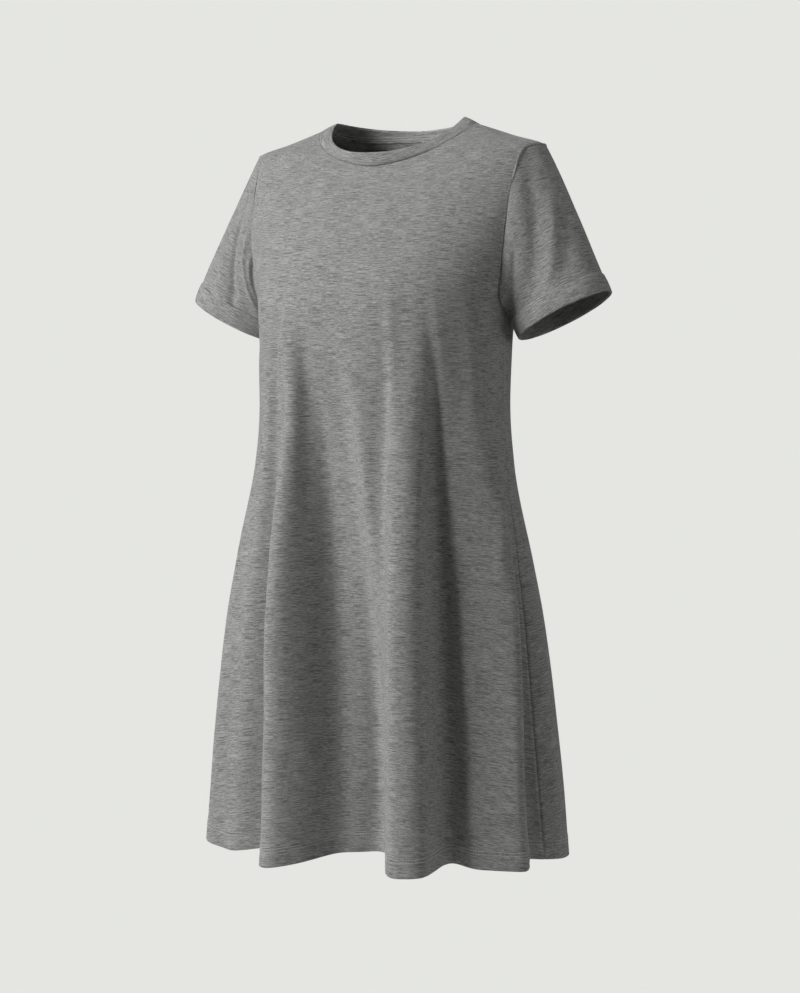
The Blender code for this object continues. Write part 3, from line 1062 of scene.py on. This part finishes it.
@dataclass(frozen=True)
class HeatherJersey:
    """Matt grey jersey of mixed fibres with a little nap."""

    name: str
    dark: tuple[float, float, float]
    middle: tuple[float, float, float]
    light: tuple[float, float, float]
    roughness: float = 0.92
    specular: float = 0.25
    sheen: float = 0.22
    sheen_roughness: float = 0.45
    sheen_tint: tuple[float, float, float, float] = (0.92, 0.93, 0.90, 1.0)
    loop_depth: float = 0.00022
    loop_strength: float = 0.45
    gap_shade: float = 0.22
    fibre_height: float = 0.8

    def make(self, groups: FinishGroups) -> bpy.types.Material:
        """Build the material.

        Args:
            groups: Shared node groups.

        Returns:
            The material.
        """
        material = bpy.data.materials.new(self.name)
        material.use_nodes = True
        w = NodeWriter(material.node_tree)
        shader = material.node_tree.nodes["Principled BSDF"]
        place = w.add("ShaderNodeUVMap", uv_map=GRAIN_UV).outputs["UV"]
        heather = w.add("ShaderNodeGroup", node_tree=groups.heather)
        knit = w.add("ShaderNodeGroup", node_tree=groups.knit)
        w.feed(heather.inputs["Place"], place)
        w.feed(knit.inputs["Place"], place)
        for label, colour in (("Dark", self.dark), ("Middle", self.middle), ("Light", self.light)):
            heather.inputs[label].default_value = (*colour, 1.0)
        shade = w.math("MULTIPLY", knit.outputs["Gap"], self.gap_shade)
        colour = w.mix(shade, heather.outputs["Colour"], (*self.dark, 1.0))
        fibres = heather.outputs["Fibres"]
        height = w.math("MULTIPLY_ADD", fibres, self.fibre_height, knit.outputs["Height"])
        bump = w.add("ShaderNodeBump")
        bump.inputs["Strength"].default_value = self.loop_strength
        bump.inputs["Distance"].default_value = self.loop_depth
        w.feed(bump.inputs["Height"], height)
        w.feed(shader.inputs["Base Color"], colour)
        w.feed(shader.inputs["Normal"], bump.outputs["Normal"])
        shader.inputs["Roughness"].default_value = self.roughness
        shader.inputs["Specular IOR Level"].default_value = self.specular
        shader.inputs["Sheen Weight"].default_value = self.sheen
        shader.inputs["Sheen Roughness"].default_value = self.sheen_roughness
        shader.inputs["Sheen Tint"].default_value = self.sheen_tint
        return material


@dataclass(frozen=True)
class SewingThread:
    """Spun polyester thread, a little lighter than the cloth."""

    name: str
    colour: tuple[float, float, float]
    twist: float = 0.0006
    # painted shade: share of the thread's colour left in the grooves between its plies
    shade_between_plies: float = 0.72
    ply_strength: float = 0.5
    ply_depth: float = 0.00008
    roughness: float = 0.6

    def make(self) -> bpy.types.Material:
        """Build the material.

        Returns:
            The material.
        """
        material = bpy.data.materials.new(self.name)
        material.use_nodes = True
        w = NodeWriter(material.node_tree)
        shader = material.node_tree.nodes["Principled BSDF"]
        place = w.add("ShaderNodeUVMap", uv_map=GRAIN_UV).outputs["UV"]
        parts = w.add("ShaderNodeSeparateXYZ")
        w.feed(parts.inputs[0], place)
        turn = w.math("ADD", w.math("DIVIDE", parts.outputs["X"], self.twist), parts.outputs["Y"])
        ply = w.math("SINE", w.math("MULTIPLY", turn, 2.0 * math.pi))
        # painted shade: the colour darkens towards the grooves between the plies
        shade = w.ramp(ply, -1.0, 1.0)
        low = tuple(self.shade_between_plies * c for c in self.colour)
        w.feed(shader.inputs["Base Color"], w.mix(shade, (*low, 1.0), (*self.colour, 1.0)))
        bump = w.add("ShaderNodeBump")
        bump.inputs["Strength"].default_value = self.ply_strength
        bump.inputs["Distance"].default_value = self.ply_depth
        w.feed(bump.inputs["Height"], ply)
        w.feed(shader.inputs["Normal"], bump.outputs["Normal"])
        shader.inputs["Roughness"].default_value = self.roughness
        return material


# ---- cut pieces ----


def rounding(distance: Array, radius: float) -> Array:
    """How far a rounded edge has dropped at a distance from the edge.

    Args:
        distance: Distance in from the edge.
        radius: Radius of the rounding.

    Returns:
        The drop, which is the radius at the edge itself.
    """
    short = 1.0 - np.clip(distance / radius, 0.0, 1.0)
    return radius * (1.0 - np.sqrt(np.maximum(1.0 - short**2, 0.0)))


def soft_line(distance: Array, middle: float, half_width: float) -> Array:
    """A soft line of height one along a distance.

    Args:
        distance: Distance from an edge.
        middle: Where the line runs.
        half_width: How wide it is.

    Returns:
        Its height at each distance.
    """
    return np.exp(-(((distance - middle) / half_width) ** 2))


@dataclass(frozen=True)
class SeamRidge:
    """The low ridge that the seam allowances raise beside a seam."""

    height: float
    from_edge: float
    half_width: float

    def lift(self, distance: Array) -> Array:
        """How far the cloth is raised.

        Args:
            distance: Distance from the seam.

        Returns:
            The outward moves.
        """
        return self.height * soft_line(distance, self.from_edge, self.half_width)


@dataclass
class BodyPanel:
    """The front or the back, from the hem to the neckline and shoulders."""

    form: DressForm
    side: Side
    creases: tuple[Crease, ...]
    cloth: float = 0.0012
    hem_wall: float = 0.0021
    hem_turn: float = 0.024
    hem_turn_from: float = 0.0006
    hem_turn_over: float = 0.0008
    hem_ledge: float = 0.0003
    hem_ledge_from: float = 0.001
    hem_ledge_over: float = 0.0015
    stitch_sink: float = 0.00025
    stitch_half_width: float = 0.0006
    seam_radius: float = 0.0007
    top_radius: float = 0.0010
    armhole_ridge: SeamRidge = SeamRidge(0.0010, 0.0028, 0.0013)
    side_ridge: SeamRidge = SeamRidge(0.0007, 0.0032, 0.0016)
    ridge_fade: float = 0.010
    swell: tuple[float, float, float] = (0.0009, 0.045, -3.7)
    typical_width: float = 0.45
    narrow_width: float = 0.42
    seam_gap: float = 0.00002
    columns: int = 146
    rows_below: int = 104
    rows_above: int = 60
    flare: float = 0.257
    flare_height: float = 0.62
    fine: tuple[float, ...] = (0.0004, 0.0009, 0.0016, 0.0026, 0.0042, 0.0065)
    hem_rows: tuple[float, ...] = (
        0.0165, 0.0173, 0.0181, 0.0200, 0.0208, 0.0216, 0.0235, 0.0243, 0.0252,
    )
    top_shares: tuple[float, ...] = (0.011, 0.008, 0.0055, 0.0035, 0.0018, 0.0005)
    top_start: float = 0.985
    least_step: float = 0.3
    sheet: ClothSheet | None = None

    @property
    def name(self) -> str:
        """Name of the CAD node that the piece stands for."""
        return self.side.name.lower()

    def shares(self) -> tuple[Array, Array]:
        """Where the columns and rows of points run.

        Returns:
            Shares across and shares up.
        """
        form = self.form
        gap = self.seam_gap / self.typical_width
        across = graded(gap, 1.0 - gap, self.columns, self.fine, self.narrow_width)
        corners = np.array((0.5 - form.neck_share / 2.0, 0.5 + form.neck_share / 2.0))
        across = np.unique(np.concatenate((across, corners)))
        body_length = form.underarm_height - form.hem_height
        per_metre = form.underarm_share / body_length
        low = graded(0.0, form.underarm_share, self.rows_below, self.fine, 1.0 / per_metre)
        low = low[low < form.underarm_share * (1.0 - self.least_step / self.rows_below)]
        low = np.unique(np.concatenate((low, np.array(self.hem_rows) * per_metre)))
        high = np.linspace(form.underarm_share, self.top_start, self.rows_above)
        return across, np.concatenate((low, high, 1.0 - np.array(self.top_shares)))

    def make_sheet(self) -> ClothSheet:
        """Shape the cloth: form, creases, seams and hem.

        Returns:
            The shaped sheet.
        """
        columns, rows = np.meshgrid(*self.shares())
        points = self.form.panel_point(columns, rows, self.side)
        sheet = ClothSheet(points, closed=False, flip=self.side is Side.BACK)
        sheet.crease(self.creases)
        sheet.soften(*self.swell)
        sheet.place = sheet.panel_grain(self.flare, self.flare_height)
        to_side = np.minimum(sheet.from_start, sheet.row_length - sheet.from_start)
        above = (rows > self.form.underarm_share).astype(float)
        lift = self.armhole_ridge.lift(to_side) * above
        lift = lift + self.side_ridge.lift(to_side) * (1.0 - above)
        lift = lift * smoothstep(sheet.from_top / self.ridge_fade)
        edges = rounding(to_side, self.seam_radius) + rounding(sheet.from_top, self.top_radius)
        sheet.push(lift - edges)
        stitches = sum(soft_line(sheet.up, h, self.stitch_half_width) for h in HEM_STITCH_HEIGHTS)
        below_turn = self.hem_turn + self.hem_ledge_from - sheet.up
        ledge = self.hem_ledge * smoothstep(below_turn / self.hem_ledge_over)
        sheet.push(ledge - self.stitch_sink * stitches - rounding(sheet.up, self.hem_wall / 2.0))
        return sheet

    def build(self, finish: bpy.types.Material) -> bpy.types.Object:
        """Build the panel and dress it.

        Args:
            finish: Its cloth.

        Returns:
            The finished piece.
        """
        self.sheet = self.make_sheet()
        below_turn = self.hem_turn + self.hem_turn_from - self.sheet.up
        turned = smoothstep(below_turn / self.hem_turn_over)
        wall = self.cloth + (self.hem_wall - self.cloth) * turned
        wall = wall - 2.0 * EDGE_TAPER * rounding(self.sheet.up, self.hem_wall / 2.0)
        obj = self.sheet.build(f"{self.name}_cloth", wall)
        return dress(obj, finish, self.name)


@dataclass
class Sleeve:
    """A short set-in sleeve, from the armhole seam to where its cuff begins."""

    form: DressForm
    hand: Hand
    creases: tuple[Crease, ...]
    cloth: float = 0.0012
    seam_radius: float = 0.0005
    swell: tuple[float, float, float] = (0.0007, 0.035, 9.1)
    typical_length: float = 0.11
    start: float = 0.001
    fine: tuple[float, ...] = (0.0004, 0.0009, 0.0016, 0.0026, 0.0042)
    columns: int = 150
    rows: int = 84

    @property
    def name(self) -> str:
        """Name of the CAD node that the piece stands for."""
        return f"sleeve_{self.hand.name.lower()}"

    def make_sheet(self) -> ClothSheet:
        """Shape the cloth of a left sleeve.

        Returns:
            The shaped sheet, cuff end first.
        """
        turn = 0.5 + np.linspace(0.0, 1.0, self.columns + 1)
        down = graded(self.start, 1.0, self.rows, self.fine, self.typical_length)[::-1]
        columns, rows = np.meshgrid(turn, down)
        sheet = ClothSheet(self.form.sleeve_point(columns, rows), closed=True, flip=True)
        sheet.crease(self.creases)
        depth, size, seed = self.swell
        sheet.soften(depth, size, seed * self.hand.value)
        along, _ = self.form.sleeve_axes()
        from_cuff = (np.array(self.form.cuff_centre) - sheet.points) @ along
        sheet.place = np.stack((sheet.across, from_cuff), axis=-1)
        sheet.measure()
        sheet.push(-rounding(sheet.from_top, self.seam_radius))
        return sheet

    def build(self, finish: bpy.types.Material) -> bpy.types.Object:
        """Build the sleeve and dress it.

        Args:
            finish: Its cloth.

        Returns:
            The finished piece.
        """
        sheet = self.make_sheet()
        obj = sheet.build(f"{self.name}_cloth", np.full(sheet.across.shape, self.cloth))
        if self.hand is Hand.RIGHT:
            mirrored(obj)
        return dress(obj, finish, self.name)


@dataclass
class Cuff:
    """The sleeve's end, turned up on the outside, so its upper edge laps over the sleeve."""

    form: DressForm
    hand: Hand
    proud: float = 0.0013
    wall: float = 0.0026
    puff: float = 0.0007
    lap: float = 0.0012
    upper_radius: float = 0.0011
    swell: tuple[float, float, float] = (0.0008, 0.020, 17.3)
    grain_start: tuple[float, float] = (0.4, 0.9)
    fine: tuple[float, ...] = (0.0003, 0.0007, 0.0012, 0.0020)
    columns: int = 150
    rows: int = 16

    @property
    def name(self) -> str:
        """Name of the CAD node that the piece stands for."""
        return f"cuff_{self.hand.name.lower()}"

    def make_sheet(self) -> ClothSheet:
        """Shape the cloth of a left cuff, whose courses run the other way up.

        Returns:
            The shaped sheet, opening first.
        """
        depth = self.form.cuff_depth
        turn = 0.5 + np.linspace(0.0, 1.0, self.columns + 1)
        back = graded(0.0, 1.0, self.rows, self.fine, depth) * (depth + self.lap)
        columns, rows = np.meshgrid(turn, back)
        ring = self.form.cuff_ring_point(columns, rows, np.full(rows.shape, self.proud))
        sheet = ClothSheet(ring, closed=True, flip=True)
        swell_depth, size, seed = self.swell
        sheet.soften(swell_depth, size, seed * self.hand.value)
        sheet.place = sheet.band_grain() * np.array((1.0, -1.0)) + np.array(self.grain_start)
        puff = self.puff * np.sin(np.clip(sheet.up / depth, 0.0, 1.0) * math.pi)
        edges = rounding(sheet.from_top, self.upper_radius) + rounding(sheet.up, self.wall / 2.0)
        sheet.push(puff - edges)
        return sheet

    def build(self, finish: bpy.types.Material) -> bpy.types.Object:
        """Build the cuff and dress it.

        Args:
            finish: Its cloth.

        Returns:
            The finished piece.
        """
        sheet = self.make_sheet()
        wall = self.wall - 2.0 * EDGE_TAPER * rounding(sheet.up, self.wall / 2.0)
        obj = sheet.build(f"{self.name}_cloth", wall)
        if self.hand is Hand.RIGHT:
            mirrored(obj)
        return dress(obj, finish, self.name)


@dataclass
class Neckband:
    """The folded band that finishes the neckline, its seamed edge tucked behind the body's."""

    form: DressForm
    wall: float = 0.0021
    puff: float = 0.0006
    tuck: float = 0.0011
    seam_roll: float = 0.0030
    seam_taper: float = 0.55
    typical_height: float = 0.015
    grain_start: tuple[float, float] = (0.2, 1.7)
    fine: tuple[float, ...] = (0.0003, 0.0007, 0.0012, 0.0020)
    columns: int = 220
    rows: int = 16
    name: str = "neckband"
    sheet: ClothSheet | None = None

    def make_sheet(self) -> ClothSheet:
        """Shape the cloth of the band.

        Returns:
            The shaped sheet, seam first.
        """
        turn = 0.5 + np.linspace(0.0, 1.0, self.columns + 1)
        share = graded(0.0, 1.0, self.rows, self.fine, self.typical_height)
        columns, rows = np.meshgrid(turn, share)
        seam = self.form.neck_point(columns, np.zeros(columns.shape))
        edge = self.form.band_edge_point(columns)
        length = np.linalg.norm(edge - seam, axis=-1, keepdims=True)
        start = -self.tuck / length
        part = start + (1.0 - start) * rows[..., None]
        sheet = ClothSheet(seam + (edge - seam) * part, closed=True)
        sheet.place = sheet.band_grain() + np.array(self.grain_start)
        height = sheet.up + sheet.from_top
        puff = self.puff * np.sin(np.clip(sheet.up / height, 0.0, 1.0) * math.pi)
        edges = rounding(sheet.up, self.seam_roll) + rounding(sheet.from_top, self.wall / 2.0)
        sheet.push(puff - edges)
        return sheet

    def build(self, finish: bpy.types.Material) -> bpy.types.Object:
        """Build the band and dress it.

        Args:
            finish: Its cloth.

        Returns:
            The finished piece.
        """
        self.sheet = self.make_sheet()
        wall = self.wall - 2.0 * EDGE_TAPER * rounding(self.sheet.from_top, self.wall / 2.0)
        wall = wall - self.seam_taper * rounding(self.sheet.up, self.seam_roll)
        obj = self.sheet.build(f"{self.name}_cloth", wall)
        return dress(obj, finish, self.name)


@dataclass
class NeckSeam:
    """The neckline's seam allowance, turned down inside the body."""

    form: DressForm
    depth: float = 0.0088
    least_depth: float = 0.0008
    side_fade: float = 0.35
    under: float = 0.0012
    wall: float = 0.0010
    grain_start: tuple[float, float] = (0.7, 2.3)
    columns: int = 200
    rows: int = 8

    def make_sheet(self) -> ClothSheet:
        """Shape the allowance, which narrows at the shoulder seams.

        Returns:
            The shaped sheet, its raw edge first.
        """
        turn = 0.5 + np.linspace(0.0, 1.0, self.columns + 1)
        columns, rows = np.meshgrid(turn, np.linspace(1.0, 0.0, self.rows))
        from_side = smoothstep(np.abs(np.cos(columns * 2.0 * math.pi)) / self.side_fade)
        drop = rows * (self.least_depth + (self.depth - self.least_depth) * from_side)
        sheet = ClothSheet(self.form.neck_point(columns, drop), closed=True)
        sheet.place = sheet.band_grain() + np.array(self.grain_start)
        sheet.push(np.full(sheet.across.shape, -self.under))
        return sheet

    def build(self, finish: bpy.types.Material) -> bpy.types.Object:
        """Build the allowance and dress it.

        Args:
            finish: Its cloth.

        Returns:
            The finished piece.
        """
        sheet = self.make_sheet()
        obj = sheet.build("neck_seam_allowance", np.full(sheet.across.shape, self.wall))
        return dress(obj, finish)


# ---- stitching ----


@dataclass(frozen=True)
class StitchRow:
    """One row of lockstitches, a thread that dips through the cloth between them."""

    pitch: float = 0.0032
    radius: float = 0.00036
    dips: tuple[float, ...] = (-0.00060, 0.00014, 0.00030, 0.00014)
    sides: int = 6

    def middle_line(self, path: Array) -> tuple[Array, Array, Array, Array]:
        """Where the thread's middle runs.

        Args:
            path: Points and normals of the cloth under the row, one in each line.

        Returns:
            Distances along the row, middle points, and unit vectors aside and out of the cloth.
        """
        moves = np.linalg.norm(np.diff(path[:, :3], axis=0), axis=1)
        length = np.concatenate(([0.0], np.cumsum(moves)))
        steps = max(int(round(length[-1] / self.pitch)), 2) * len(self.dips)
        at = np.linspace(0.0, length[-1], steps + 1)
        line = np.stack([np.interp(at, length, path[:, k]) for k in range(6)], axis=1)
        normal = unit(line[:, 3:])
        dips = np.array(self.dips)[np.arange(steps + 1) % len(self.dips)]
        middle = line[:, :3] + normal * dips[:, None]
        tangent = unit(np.gradient(middle, axis=0))
        aside = unit(np.cross(tangent, normal))
        return at, middle, aside, np.cross(aside, tangent)

    def add_to(self, bm: bmesh.types.BMesh, path: Array) -> None:
        """Add the row's thread to a mesh.

        Args:
            bm: Mesh to add it to.
            path: Points and normals of the cloth under the row, one in each line.
        """
        at, middle, aside, normal = self.middle_line(path)
        steps = len(at) - 1
        uv = bm.loops.layers.uv.get(GRAIN_UV) or bm.loops.layers.uv.new(GRAIN_UV)
        made = bmesh.ops.create_grid(bm, x_segments=steps, y_segments=self.sides, size=0.5)
        index = {}
        for vert in made["verts"]:
            step, side = round((vert.co.x + 0.5) * steps), round((vert.co.y + 0.5) * self.sides)
            index[vert] = (step, side)
            turn = side % self.sides / self.sides * 2.0 * math.pi
            round_thread = aside[step] * math.cos(turn) - normal[step] * math.sin(turn)
            vert.co = middle[step] + round_thread * self.radius
        for face in {face for vert in made["verts"] for face in vert.link_faces}:
            for loop in face.loops:
                step, side = index[loop.vert]
                loop[uv].uv = (at[step], side / self.sides)
        seam = [v for v, (_, side) in index.items() if side in (0, self.sides)]
        bmesh.ops.remove_doubles(bm, verts=seam, dist=MERGE_DISTANCE)


def finish_stitching(
    name: str, bm: bmesh.types.BMesh, thread: bpy.types.Material
) -> bpy.types.Object:
    """Make sewn rows a piece.

    Args:
        name: Name of the piece.
        bm: Mesh with the rows; it is freed.
        thread: The thread's material.

    Returns:
        The finished piece.
    """
    ends = [edge for edge in bm.edges if edge.is_boundary]
    bmesh.ops.holes_fill(bm, edges=ends, sides=0)
    bmesh.ops.recalc_face_normals(bm, faces=bm.faces[:])
    return dress(object_from(name, bm), thread)


@dataclass
class HemStitching:
    """Twin-needle rows above the hem of one panel."""

    panel: BodyPanel
    clear_columns: int = 3
    row: StitchRow = StitchRow()

    def build(self, thread: bpy.types.Material) -> bpy.types.Object:
        """Sew the rows.

        Args:
            thread: The thread's material.

        Returns:
            The finished piece.
        """
        bm = bmesh.new()
        for height in HEM_STITCH_HEIGHTS:
            path = self.panel.sheet.level(height)
            self.row.add_to(bm, path[self.clear_columns : -self.clear_columns])
        return finish_stitching(f"hem_stitches_{self.panel.name}", bm, thread)


@dataclass
class NeckStitching:
    """Two rows of stitches inside the back neck, just above the seam."""

    band: Neckband
    heights: tuple[float, float] = (0.0036, 0.0072)
    each_way: int = 48
    row: StitchRow = StitchRow(pitch=0.0030, radius=0.00045)

    def build(self, thread: bpy.types.Material) -> bpy.types.Object:
        """Sew the rows.

        Args:
            thread: The thread's material.

        Returns:
            The finished piece.
        """
        bm = bmesh.new()
        for height in self.heights:
            path = self.band.sheet.level(height)
            path = np.concatenate((path[-self.each_way - 1 : -1], path[: self.each_way + 1]))
            path[:, :3] -= path[:, 3:] * self.band.wall
            path[:, 3:] *= -1.0
            self.row.add_to(bm, path)
        return finish_stitching("neck_stitches", bm, thread)


# ---- studio ----


@dataclass(frozen=True)
class SoftLight:
    """A square soft light that faces the dress."""

    name: str
    place: tuple[float, float, float]
    size: float
    power: float
    colour: tuple[float, float, float] = (1.0, 1.0, 0.998)

    def hang(self, aim: Vector) -> None:
        """Put the light in the scene.

        Args:
            aim: The point that it faces.
        """
        light = bpy.data.lights.new(self.name, "AREA")
        light.shape = "SQUARE"
        light.size = self.size
        light.energy = self.power
        light.color = self.colour
        obj = bpy.data.objects.new(self.name, light)
        obj.location = self.place
        obj.rotation_euler = (aim - Vector(self.place)).to_track_quat("-Z", "Y").to_euler()
        bpy.context.scene.collection.objects.link(obj)


@dataclass
class Studio:
    """A pale floor, an even pale surround, soft lights and the camera."""

    backdrop: tuple[float, float, float] = (0.783, 0.791, 0.761)
    surround: tuple[float, float, float] = (1.0, 1.0, 0.995)
    ambient: float = 0.140
    floor_height: float = -1.38
    floor_radius: float = 6.0
    floor_fade: tuple[float, float] = (0.8, 1.6)
    floor_roughness: float = 0.9
    camera_distance: float = 3.6
    camera_azimuth: float = 30.0
    camera_height: float = -0.32
    aim: tuple[float, float, float] = (0.0010, 0.0006, -0.4335)
    lens: float = 110.94
    sensor: float = 36.0
    lights: tuple[SoftLight, ...] = (
        SoftLight("key_light", (-1.85, -2.30, 0.75), 1.5, 123.0),
        SoftLight("fill_light", (2.95, -0.15, 0.10), 1.5, 13.0),
        SoftLight("back_light", (-1.20, 2.60, 0.90), 1.4, 26.0),
        SoftLight("top_light", (0.95, -1.10, 2.20), 1.2, 10.0),
        SoftLight("rim_light", (2.40, 1.70, 0.40), 1.2, 3.0),
    )

    def floor_material(self) -> bpy.types.Material:
        """Pale matt floor that fades into the surround away from the dress."""
        material = bpy.data.materials.new("studio_floor")
        material.use_nodes = True
        w = NodeWriter(material.node_tree)
        shader = material.node_tree.nodes["Principled BSDF"]
        output = material.node_tree.nodes["Material Output"]
        flat = w.add("ShaderNodeVectorMath", operation="MULTIPLY")
        w.feed(flat.inputs[0], w.add("ShaderNodeTexCoord").outputs["Object"])
        flat.inputs[1].default_value = (1.0, 1.0, 0.0)
        away = w.add("ShaderNodeVectorMath", operation="LENGTH")
        w.feed(away.inputs[0], flat.outputs[0])
        shader.inputs["Base Color"].default_value = (*self.backdrop, 1.0)
        shader.inputs["Roughness"].default_value = self.floor_roughness
        glow = w.add("ShaderNodeEmission")
        glow.inputs["Color"].default_value = (*self.backdrop, 1.0)
        w.feed(glow.inputs["Strength"], w.add("ShaderNodeLightPath").outputs["Is Camera Ray"])
        mix = w.add("ShaderNodeMixShader")
        w.feed(mix.inputs[0], w.ramp(away.outputs["Value"], *self.floor_fade))
        w.feed(mix.inputs[1], shader.outputs[0])
        w.feed(mix.inputs[2], glow.outputs[0])
        w.feed(output.inputs["Surface"], mix.outputs[0])
        return material

    def add_floor(self) -> None:
        """Lay the floor."""
        bm = bmesh.new()
        bmesh.ops.create_circle(bm, cap_ends=True, segments=96, radius=self.floor_radius)
        bmesh.ops.translate(bm, vec=(0.0, 0.0, self.floor_height), verts=bm.verts[:])
        mesh = bpy.data.meshes.new("studio_floor")
        bm.to_mesh(mesh)
        bm.free()
        mesh.materials.append(self.floor_material())
        floor = bpy.data.objects.new("studio_floor", mesh)
        bpy.context.scene.collection.objects.link(floor)

    def add_surround(self) -> None:
        """Light the scene softly from all round, with a plain backdrop behind."""
        world = bpy.data.worlds.new("surround")
        bpy.context.scene.world = world
        world.use_nodes = True
        w = NodeWriter(world.node_tree)
        seen = w.add("ShaderNodeBackground")
        seen.inputs["Color"].default_value = (*self.backdrop, 1.0)
        soft = world.node_tree.nodes["Background"]
        soft.inputs["Color"].default_value = (*self.surround, 1.0)
        soft.inputs["Strength"].default_value = self.ambient
        mix = w.add("ShaderNodeMixShader")
        w.feed(mix.inputs[0], w.add("ShaderNodeLightPath").outputs["Is Camera Ray"])
        w.feed(mix.inputs[1], soft.outputs[0])
        w.feed(mix.inputs[2], seen.outputs[0])
        w.feed(world.node_tree.nodes["World Output"].inputs["Surface"], mix.outputs[0])

    def add_camera(self) -> None:
        """Place the camera at the wearer's left front, level with the waist."""
        camera = bpy.data.cameras.new("camera")
        camera.lens = self.lens
        camera.sensor_width = self.sensor
        camera.sensor_fit = "AUTO"
        obj = bpy.data.objects.new("camera", camera)
        turn = math.radians(self.camera_azimuth)
        place = Vector((math.sin(turn), -math.cos(turn), 0.0)) * self.camera_distance
        place.z = self.camera_height
        obj.location = place
        obj.rotation_euler = (Vector(self.aim) - place).to_track_quat("-Z", "Y").to_euler()
        bpy.context.scene.collection.objects.link(obj)
        bpy.context.scene.camera = obj

    def build(self) -> None:
        """Set up the whole studio."""
        bpy.context.scene.view_settings.view_transform = "Standard"
        self.add_floor()
        self.add_surround()
        for light in self.lights:
            light.hang(Vector((0.0, 0.0, self.aim[2])))
        self.add_camera()


# ---- the dress ----

FRONT_CREASES: tuple[Crease, ...] = (
    Crease(-0.055, 0.665, -0.175, 0.335, 0.0036, 0.0055),
    Crease(-0.071, 0.665, -0.191, 0.335, -0.0028, 0.0075),
    Crease(-0.046, 0.640, -0.056, 0.340, -0.0024, 0.0075),
    Crease(0.064, 0.700, 0.096, 0.340, 0.0032, 0.0075, 0.006),
    Crease(0.104, 0.620, 0.148, 0.260, 0.0022, 0.0055, 0.003),
    Crease(0.102, 0.650, 0.166, 0.330, -0.0028, 0.0095),
    Crease(0.112, 0.670, 0.136, 0.480, 0.0014, 0.0080),
    Crease(0.148, 0.680, 0.180, 0.460, 0.0018, 0.0100),
    Crease(0.222, 0.540, 0.268, 0.280, 0.0022, 0.0070),
    Crease(-0.142, 0.760, -0.128, 0.560, 0.0020, 0.0080),
    Crease(-0.180, 0.640, -0.150, 0.540, -0.0014, 0.0120, 0.004),
    Crease(0.330, 0.040, 0.338, 0.004, 0.0012, 0.0040, 0.001),
)
BACK_CREASES: tuple[Crease, ...] = (
    Crease(-0.110, 0.640, -0.150, 0.400, 0.0024, 0.013, 0.004),
    Crease(-0.040, 0.600, -0.060, 0.380, -0.0022, 0.014, -0.003),
    Crease(0.035, 0.640, 0.050, 0.400, 0.0020, 0.012, 0.005),
    Crease(0.120, 0.610, 0.165, 0.390, 0.0026, 0.013, -0.004),
    Crease(0.318, 0.045, 0.330, 0.002, 0.0016, 0.004, 0.001),
    Crease(0.306, 0.034, 0.316, 0.000, -0.0014, 0.004, 0.000),
)
SLEEVE_CREASES: dict[Hand, tuple[Crease, ...]] = {
    Hand.LEFT: (
        Crease(0.018, 0.118, 0.078, -0.012, 0.0024, 0.008, 0.003),
        Crease(0.020, 0.190, 0.104, -0.034, -0.0034, 0.013, 0.000),
        Crease(0.004, 0.110, 0.052, -0.008, -0.0018, 0.009, 0.002),
        Crease(0.112, 0.080, 0.146, -0.020, -0.0018, 0.010, 0.000),
        Crease(-0.060, 0.130, -0.110, 0.010, 0.0022, 0.011, 0.003),
        Crease(-0.100, 0.120, -0.150, 0.020, -0.0026, 0.012, 0.000),
    ),
    Hand.RIGHT: (
        Crease(0.040, 0.130, 0.074, -0.030, 0.0026, 0.008, 0.003),
        Crease(0.070, 0.130, 0.094, -0.030, -0.0046, 0.006, 0.002),
        Crease(0.116, 0.115, 0.126, -0.020, 0.0024, 0.007, 0.000),
        Crease(0.166, 0.090, 0.142, -0.014, -0.0040, 0.007, 0.003),
        Crease(-0.050, 0.120, -0.090, 0.005, 0.0024, 0.011, 0.003),
        Crease(-0.110, 0.110, -0.140, 0.010, -0.0026, 0.012, 0.000),
    ),
}


@dataclass
class SwingDress:
    """The whole dress: its finishes, cut pieces and stitching."""

    form: DressForm = DressForm()
    jersey: HeatherJersey = HeatherJersey(
        "heather_jersey_cloth", (0.098, 0.099, 0.097), (0.243, 0.245, 0.241), (0.400, 0.402, 0.396)
    )
    band_jersey: HeatherJersey = HeatherJersey(
        "heather_band_cloth", (0.102, 0.103, 0.101), (0.253, 0.255, 0.251), (0.406, 0.408, 0.402)
    )
    thread: SewingThread = SewingThread("grey_thread", (0.50, 0.50, 0.49))

    def build(self) -> list[bpy.types.Object]:
        """Build every piece.

        Returns:
            The pieces in the order they are made.
        """
        groups = FinishGroups()
        cloth, band_cloth = self.jersey.make(groups), self.band_jersey.make(groups)
        thread = self.thread.make()
        front = BodyPanel(self.form, Side.FRONT, FRONT_CREASES)
        back = BodyPanel(self.form, Side.BACK, BACK_CREASES)
        pieces = []
        for panel, flat, area in ((front, (0.83, 0.88), 0.485), (back, (0.69, 0.88), 0.42)):
            piece = panel.build(cloth)
            rows = HemStitching(panel).build(thread)
            pieces += [piece, rows]
        for hand in Hand:
            sleeve = Sleeve(self.form, hand, SLEEVE_CREASES[hand]).build(cloth)
            cuff = Cuff(self.form, hand).build(cloth)
            pieces += [sleeve, cuff]
        neckband = Neckband(self.form)
        band = neckband.build(band_cloth)
        inside = [NeckSeam(self.form).build(band_cloth), NeckStitching(neckband).build(thread)]
        return [*pieces, band, *inside]


def main() -> None:
    """Load the frame, build the studio and the dress, and report each piece."""
    logging.basicConfig(level=logging.INFO, format="%(name)s: %(message)s")
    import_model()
    Studio().build()
    for piece in SwingDress().build():
        LOG.info("%s: %d faces", piece.name, len(piece.data.polygons))


if __name__ == "__main__":
    main()
